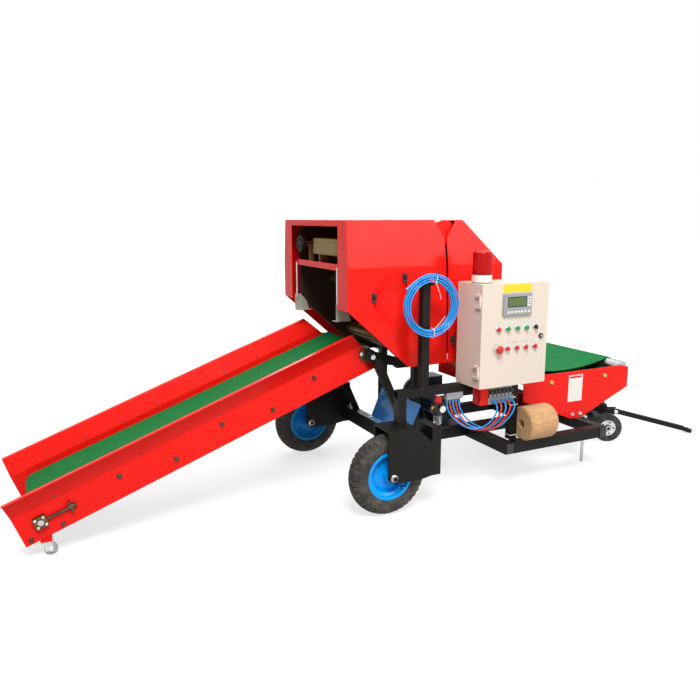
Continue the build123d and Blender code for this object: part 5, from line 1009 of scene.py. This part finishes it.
DOOR_PLATES = (  # material, low x, low z, high x, high z, from, to, edge
    (BLACK_PLASTIC, SELECTOR_X - 0.0035, 0.273, SELECTOR_X + 0.0035, 0.293, 0.014, 0.0215, 0.0012),
    (WHITE, SELECTOR_X - 0.0008, 0.284, SELECTOR_X + 0.0008, 0.292, 0.020, 0.0219, 0.0002),
    (GREY_PLASTIC, 0.118, 0.346, 0.287, 0.452, 0.0, 0.014, 0.003),
    (BLACK_PLASTIC, 0.138, 0.387, 0.252, 0.437, 0.013, 0.0145, 0.0006),
    (LCD, 0.143, 0.392, 0.247, 0.432, 0.0142, 0.0149, 0.0003),
    (YELLOW, 0.121, 0.456, 0.291, 0.495, 0.0, 0.0008, 0.0003),
    (BLACK_PLASTIC, LOCK_X - 0.0007, 0.231, LOCK_X + 0.0007, 0.239, 0.0085, 0.0090, 0.0002),
)
# The screen's keys: x, z, half width, half height
KEYS = [(x, z, 0.0045, 0.004) for x in (0.262, 0.275) for z in (0.394, 0.406, 0.418, 0.430)]
KEYS += [(x, 0.364, 0.006, 0.005) for x in (0.145, 0.165, 0.185, 0.205, 0.225, 0.245, 0.268)]
panel = Shape()
blocks = Shape()
for height, colours in BUTTON_ROWS:
    for column, colour in enumerate(colours):
        x = BUTTON_X + BUTTON_STEP * column
        seat = on_door(x, height)
        panel.use(ZINC).ring(seat, -Y, 0.0150, 0.0104, 0.0060, 0.0015)
        panel.box(on_door(x - 0.018, height + 0.025), on_door(x + 0.018, height + 0.034, 0.0008), 0.0003)
        panel.use(colour).lathe(seat, -Y, BUTTON_CAP, 32)
        low, high = on_door(x - 0.014, height - 0.019, -0.018), on_door(x + 0.014, height + 0.019, -0.055)
        blocks.use(GREY_PLASTIC).box(low, high)
for material, low_x, low_z, high_x, high_z, back, front, edge in DOOR_PLATES:
    panel.use(material).box(on_door(low_x, low_z, back), on_door(high_x, high_z, front), edge)
panel.use(WHITE)
for x, z, half_x, half_z in KEYS:
    panel.box(on_door(x - half_x, z - half_z, 0.013), on_door(x + half_x, z + half_z, 0.0155), 0.0008)
panel.use(RED_PLASTIC).lathe(on_door(BUTTON_X, STOP_Z), -Y, MUSHROOM, 40)
panel.use(BLACK_PLASTIC).lathe(on_door(LOCK_X, LOCK_Z), -Y, LOCK_SHAPE, 32)
panel.use(ZINC).bar(on_door(LOCK_X, LOCK_Z, 0.007), on_door(LOCK_X, LOCK_Z, 0.0088), 0.0055, 0.0004)
panel.place("door_panel", "door", "black_plastic", ("door_controls",))
blocks.use(BLACK_PLASTIC).box(on_door(0.070, 0.225, -0.018), on_door(0.345, 0.247, -0.045), 0.002)
blocks.box(on_door(0.125, 0.352, -0.018), on_door(0.280, 0.446, -0.050), 0.003)
blocks.place("door_contacts", "door", "grey_plastic")

# Inside the cabinet: rails with switchgear, and wiring ducts
PLATE_Y = CAB_FRONT_Y + 0.175
RAIL_ROWS = (0.705, 0.840, 0.965)
RAIL_X = (CAB_X + 0.045, CAB_X + 0.355)
RAIL_T = 0.008
RAIL_HALF = 0.0175
DUCT_X = (CAB_X + 0.040, CAB_X + 0.360)
DUCT_D = 0.045
DUCT_Z = (0.048, 0.072)
SWITCHGEAR = (  # row, first place, count, pitch, width, height, depth, material
    (2, 0.062, 1, 0.000, 0.130, 0.090, 0.065, GREY_PLASTIC),
    (2, 0.205, 3, 0.048, 0.045, 0.080, 0.080, BLACK_PLASTIC),
    (1, 0.062, 6, 0.018, 0.017, 0.082, 0.068, WHITE),
    (1, 0.185, 3, 0.048, 0.045, 0.075, 0.080, DARK_GREY),
    (0, 0.062, 21, 0.0065, 0.006, 0.046, 0.046, GREY_PLASTIC),
    (0, 0.212, 18, 0.0065, 0.006, 0.046, 0.046, GREEN_PLASTIC),
)
inside = Shape()
for z in RAIL_ROWS:
    inside.use(ZINC).box((RAIL_X[0], PLATE_Y - RAIL_T, z - RAIL_HALF), (RAIL_X[1], PLATE_Y, z + RAIL_HALF))
    inside.use(GREY_PLASTIC)
    inside.box((DUCT_X[0], PLATE_Y - DUCT_D, z + DUCT_Z[0]), (DUCT_X[1], PLATE_Y, z + DUCT_Z[1]), 0.002)
for row, first, count, pitch, width, height, depth, material in SWITCHGEAR:
    z = RAIL_ROWS[row]
    for index in range(count):
        x = CAB_X + first + pitch * index
        low, high = (x, PLATE_Y - depth, z - height / 2), (x + width, PLATE_Y - 0.006, z + height / 2)
        inside.use(material).box(low, high, 0.0015)
        for end in (-1, 1):
            spot = Vector((x + width / 2, PLATE_Y - depth, z + end * (height / 2 - 0.007)))
            inside.use(ZINC).bar(spot, spot - Y * 0.0006, min(0.0025, width / 3), 0.0002, 12)
inside.place("cabinet_switchgear", "chassis", "grey_plastic")

# Beacon: ribbed lens, with rubber seals under it and under its base
BEACON = Vector((CAB_X + 0.060, CAB_FRONT_Y + 0.090, CAB_Z + CAB_H + 0.040))
LENS_RIBS = 40
LENS_RIB_H = 0.0009
LENS_R = 0.045
LENS_RIB_LOW = 0.010
LENS_RIB_TOP = 0.090
LENS_PROFILE = [(0, 0), (0, LENS_R), (LENS_RIB_LOW, LENS_R), (LENS_RIB_TOP, LENS_R)]
LENS_PROFILE += arc((0.096, LENS_R), (0.1059, 0.0409), (0.110, 0.031), 6) + [(0.110, 0)]


def lens_ribs(along, radius, angle):
    ribbed = LENS_RIB_LOW <= along <= LENS_RIB_TOP
    return radius - LENS_RIB_H * (1 + cos(LENS_RIBS * angle)) if ribbed else radius


lens = Shape().use(LENS).lathe(BEACON, Z, LENS_PROFILE, LENS_RIBS * 6, lens_ribs)
lens.place("beacon_ribs", "chassis", "red_lens", ("beacon_lens",))
seal = Shape().use(BLACK_PLASTIC).ring(BEACON - Z * 0.040, Z, 0.0500, 0.0400, 0.004)
seal.ring(BEACON - Z * 0.002, Z, 0.0488, 0.0440, 0.003)
seal.place("beacon_seals", "chassis", "black_plastic")


# Valve bank: coils, collars and silencers, with its red plate
def on_valves(x, y, z):
    """A point from the valve bank's lower front corner."""
    return Vector((VALVE_X + x, VALVE_Y + y, VALVE_LOW_Z + z))


VALVES = 6
VALVE_STEP = 0.024
COLLAR_IN = 0.004
COLLAR_BORE = 0.0046
COLLAR_L = 0.007
valves = Shape()
for index in range(VALVES):
    x = 0.008 + VALVE_STEP * index
    valves.use(BLACK_PLASTIC)
    valves.box(on_valves(x + 0.001, -0.012, 0.052), on_valves(x + 0.019, 0.005, 0.073), 0.002)
    valves.use(WHITE).bar(on_valves(x + 0.010, 0.005, 0.043), on_valves(x + 0.010, 0, 0.043), 0.004)
    valves.use(ZINC).bolt(on_valves(x + 0.010, 0, 0.090), -Y, M5, False)
valves.use(HOSE_BLUE)
for index in range(len(HOSE_TABLE)):
    valves.ring(PORT + X * (index * PORT_STEP) + Y * COLLAR_IN, -Y, 0.0088, COLLAR_BORE, COLLAR_L)
    collar = Vector((BLOCK_X + index * BLOCK_STEP, BEAM_Y, BLOCK_END_Z + COLLAR_IN))
    valves.ring(collar, -Z, 0.0084, COLLAR_BORE, COLLAR_L)
valves.use(BRASS)
for y in (0.014, 0.044):
    spot = on_valves(0.156, y, 0.017)
    valves.hexagon(spot, X, 0.015, 0.006).bar(spot, spot + X * 0.024, 0.006, 0.002)
valves.use(RED).box(on_valves(-0.052, -0.004, 0), on_valves(-0.004, 0.060, 0.104), 0.002)
valves.place("valve_fittings", "chassis", "grey_plastic")

# Air unit: red knob, black body, clear bowl and a plain dial
AIR = Vector((AXLE_X + 0.285, BEAM_Y, BEAM_TOP_Z - BEAM_H))
KNURLS = 24
KNURL_H = 0.0008
KNURL_R = 0.016
KNOB = ((0, 0), (0, 0.0170), (0.028, 0.0170), (0.032, 0.0150), (0.037, 0.0150), (0.037, 0))
BOWL_SHAPE = ((0, 0), (0, 0.010), (0.006, 0.0175), (0.016, 0.0210), (0.066, 0.0210), (0.066, 0))
DIAL_SHAPE = ((0, 0), (0, 0.008), (0.006, 0.008), (0.008, 0.020))
DIAL_SHAPE += ((0.020, 0.020), (0.020, 0.0180), (0.018, 0.0176), (0.018, 0))
DIAL = AIR + Vector((0, -0.025, -0.070))
DIAL_TICKS = 9
TICK_OUT = 0.0188
NEEDLE_OUT = 0.0192


def knurl(along, radius, angle):
    return radius - KNURL_H * (1 + cos(KNURLS * angle)) if radius > KNURL_R else radius


air = Shape().use(ZINC).box(AIR - Vector((0.020, 0.020, 0.008)), AIR + Vector((0.020, 0.020, 0)))
air.use(RED_PLASTIC).lathe(AIR - Z * 0.045, Z, KNOB, 4 * KNURLS, knurl)
air.use(BLACK_PLASTIC).box(AIR - Vector((0.025, 0.025, 0.095)), AIR + Vector((0.025, 0.025, -0.045)), 0.005)
air.ring(AIR - Z * 0.110, Z, 0.0222, 0.0200, 0.016)
air.bar(AIR - Z * 0.165, AIR - Z * 0.159, 0.006)
air.use(BOWL).lathe(AIR - Z * 0.161, Z, BOWL_SHAPE, 40)
for side in (-1, 1):
    air.use(BRASS).hexagon(AIR + Vector((side * 0.025, 0, -0.070)), X * side, 0.018, 0.008)
air.use(BLACK_PLASTIC).lathe(DIAL, -Y, DIAL_SHAPE, 40)
for tick in range(DIAL_TICKS):
    way = upright(radians(225 - 270 * tick / (DIAL_TICKS - 1)))
    air.bar(DIAL - Y * TICK_OUT + way * 0.0125, DIAL - Y * TICK_OUT + way * 0.0155, 0.0005, 0.0001, 6)
air.use(WHITE).bar(DIAL - Y * 0.0165, DIAL - Y * 0.0186, 0.0174, 0.0002, 40)
air.use(RED_PLASTIC)
air.bar(DIAL - Y * NEEDLE_OUT, DIAL + Vector((-0.009, -NEEDLE_OUT, 0.009)), 0.0006, 0.0001, 6)
air.place("air_unit_parts", "chassis", "black_plastic", ("air_unit",))

# Twine ball: crossed turns round a hollow core
BALL = Vector((AXLE_X + 0.770, -0.550, 0.358))
BALL_R = 0.090
BALL_L = 0.180
BALL_EDGE = 0.015
BALL_CORE = 0.025
LAY = 0.0075
LAY_DEPTH = 0.0016
CROSSINGS = 7
BALL_FACE = [(0.0014 * (step % 2), BALL_CORE + 0.0025 * step) for step in range(20)]
BALL_CORNER = arc((0, BALL_R - BALL_EDGE), (0.0044, BALL_R - 0.0044), (BALL_EDGE, BALL_R), 8)
BALL_SIDE = [(BALL_EDGE + 0.0015 * step, BALL_R) for step in range(1, 100)]
BALL_HALF = BALL_FACE + BALL_CORNER
BALL_PROFILE = BALL_HALF + BALL_SIDE + mirror(BALL_HALF, BALL_L) + BALL_HALF[:1]


def winding(along, radius, angle):
    """The ball's radius with the ridges of its crossed turns."""
    if radius < BALL_R - BALL_EDGE:
        return radius
    turn = CROSSINGS * angle / (2 * pi)
    ridge = max(abs(sin(pi * (along / LAY + turn))), abs(sin(pi * (along / LAY - turn))))
    return radius - LAY_DEPTH * (1 - ridge)


ball = Shape().use(TWINE).lathe(BALL, X, BALL_PROFILE, 24 * CROSSINGS, winding)
ball.place("twine_winding", "chassis", "twine", ("twine_ball",), 70.0)

# Drive motor: cowl grille, terminal lid, gland and blank plate
MOTOR = Vector((AXLE_X + 0.560, -0.170, 0.395))
GRILLE_RADII = (0.026, 0.042, 0.058, 0.074, 0.090)
GRILLE_SPOKES = 8
LID = Vector((MOTOR.x, -0.010, MOTOR.z + 0.130))
LID_T = 0.006
GLAND = LID + Vector((-0.045, 0.020, -0.022))
motor = Shape().use(BLACK_PLASTIC)
for radius in GRILLE_RADII:
    motor.ring(MOTOR, -Y, radius + 0.003, radius - 0.003, 0.003, 0.0008, 48)
for spoke in range(GRILLE_SPOKES):
    way = upright(2 * pi * spoke / GRILLE_SPOKES)
    motor.bar(MOTOR - Y * 0.002 + way * 0.012, MOTOR - Y * 0.002 + way * 0.090, 0.002, 0.0005, 8)
motor.hexagon(GLAND, -X, 0.022, 0.008).bar(GLAND, GLAND - X * 0.018, 0.008, 0.003)
motor.use(DARK_GREY).box(LID - Vector((0.047, 0.052, 0.001)), LID + Vector((0.047, 0.052, LID_T)), 0.002)
motor.use(ZINC)
for dx, dy in product((-0.039, 0.039), (-0.044, 0.044)):
    motor.bolt(LID + Vector((dx, dy, LID_T)), Z, M5, False)
motor.box(LID + Vector((-0.0458, -0.040, -0.036)), LID + Vector((-0.0440, 0.000, -0.010)), 0.0003)
motor.place("motor_trim", "chassis", "dark_steel")

# Wrapping table: plate bolts, and a blank sticker on the near plate
TABLE_SIDE = 0.415
STICKER_T = 0.0006
table = Shape()
for side, sign in SIDES:
    for x in (-0.200, 0.200):
        table.use(BRASS).bolt((TABLE_X + x, sign * TABLE_SIDE, 0.515), Y * sign, 0.013)
    for x in (-0.028, 0.028):
        table.use(ZINC).bolt((TABLE_X + x, sign * TABLE_SIDE, 0.310), Y * sign, M10)
sticker_y = -TABLE_SIDE - STICKER_T
table.use(WHITE).box((TABLE_X - 0.070, sticker_y, 0.387), (TABLE_X + 0.034, -TABLE_SIDE, 0.540), 0.0002)
stripe_y = sticker_y - 0.0004
table.use(RED_PLASTIC)
table.box((TABLE_X - 0.062, stripe_y, 0.522), (TABLE_X + 0.026, stripe_y + STICKER_T, 0.534), 0.0002)
table.place("table_fasteners", "table", "steel")

# Film stand: core ends on the reel, bolts and a cap on the mast
REEL_X = TABLE_X + 0.150
REEL_Y = 0.600
MAST = Vector((TABLE_X, 0.645, 1.010))
MAST_HALF = Vector((0.024, 0.024, 0))
reel = Shape().use(CARD)
for z, way in ((0.713, -Z), (0.967, Z)):
    reel.ring((REEL_X, REEL_Y, z), way, 0.042, 0.036, 0.0025, 0.0008, 48)
reel.place("reel_cores", "reel", "twine")
stand = Shape().use(BLACK_PLASTIC).box(MAST - MAST_HALF, MAST + MAST_HALF + Z * 0.004, 0.0015)
stand.use(ZINC)
for z in (0.981, 0.705):
    for x in (-0.038, 0.016):
        stand.bolt((TABLE_X + x, 0.566, z), Z, M10)
    stand.hexagon((REEL_X, REEL_Y, z), Z, 0.030, 0.010)
stand.place("film_stand_fasteners", "chassis", "steel")


# Steering bogie: axle nuts, kingpin nut, drawbar pin and wheel discs
def on_bogie(along, across, z):
    """A point by its way ahead of the kingpin, across the bogie and up."""
    x = KINGPIN_X + along * cos(STEER) - across * sin(STEER)
    return Vector((x, along * sin(STEER) + across * cos(STEER), z))


BOGIE_WHEEL_R = 0.090
DISC_ACROSS = 0.208
DISC_T = 0.0025
DISC_BOLTS = 5
DISC_BOLT_R = 0.037
AHEAD = on_bogie(1, 0, 0) - on_bogie(0, 0, 0)
ACROSS = on_bogie(0, 1, 0) - on_bogie(0, 0, 0)
bogie = Shape().use(ZINC)
discs = Shape()
for side, sign in SIDES:
    out = ACROSS * sign
    bogie.hexagon(on_bogie(0, sign * 0.2165, BOGIE_WHEEL_R), out, 0.028, 0.008)
    bogie.hexagon(on_bogie(0.110, sign * 0.030, 0.146), out, 0.024, 0.007)
    disc = on_bogie(0, sign * DISC_ACROSS, BOGIE_WHEEL_R)
    discs.use(ZINC).ring(disc, out, 0.051, 0.022, DISC_T, 0.0008, 48)
    for index in range(DISC_BOLTS):
        angle = 2 * pi * index / DISC_BOLTS
        spoke = AHEAD * (DISC_BOLT_R * cos(angle)) + Z * (DISC_BOLT_R * sin(angle))
        discs.use(DARK_STEEL).bolt(disc + out * DISC_T + spoke, out, M6, False)
bogie.hexagon((KINGPIN_X, 0, 0.2685), Z, 0.046, 0.011)
bogie.place("bogie_nuts", "bogie", "steel")
discs.place("steer_discs", "bogie_wheels", "steel")

# CAD nodes that keep their form
FOLDS = 3.0
LOOKS = (  # nodes, material, edge, folds
    ("chassis_frame wheel_boxes side_beam steer_bogie drawbar", BLACK, 0.0020, 0.0),
    ("chamber_stand cover_stays gate_stays film_mast", BLACK, 0.0015, 0.0),
    ("chamber_plates gate_plates", INTERIOR, 0.0015, 0.0),
    ("table_frame", RED_DARK, 0.0015, 0.0),
    ("conveyor_bearings", BEARING, 0.0010, 0.0),
    ("front_cover_top", RED, 0.0012, 0.0),
    ("front_cover_near front_cover_far", RED, 0.0012, FOLDS),
    ("gate_cover_near gate_cover_back gate_cover_far", RED, 0.0012, FOLDS),
    ("conveyor_trough table_plates twine_tray", RED, 0.0010, FOLDS),
    ("conveyor_belt table_belt", BELT, 0.0012, 0.0),
    ("front_rollers gate_rollers", ROLLER, 0.0015, 0.0),
    ("conveyor_drums table_rollers hinge_shaft cylinder_rod", STEEL, 0.0010, 0.0),
    ("film_rollers cylinder_barrel cabinet_plate", ZINC, 0.0010, 0.0),
    ("rim_near rim_far", BLUE, 0.0015, 0.0),
    ("cabinet_box cabinet_door", CREAM, 0.0020, 0.0),
    ("beacon_base", WHITE, 0.0030, 0.0),
    ("drop_chute", CHUTE, 0.0008, 0.0),
    ("drive_motor", MOTOR_BLUE, 0.0020, 0.0),
    ("valve_bank hose_block", GREY_PLASTIC, 0.0010, 0.0),
    ("film_reel", FILM, 0.0020, 0.0),
    ("caster_fork_near caster_fork_far", ZINC, 0.0008, 0.0),
    ("caster_wheel_near caster_wheel_far", CASTER, 0.0, 0.0),
    ("steer_wheels", TYRE, 0.0, 0.0),
)
for names, material, edge, folds in LOOKS:
    dress(names, material, edge, folds)
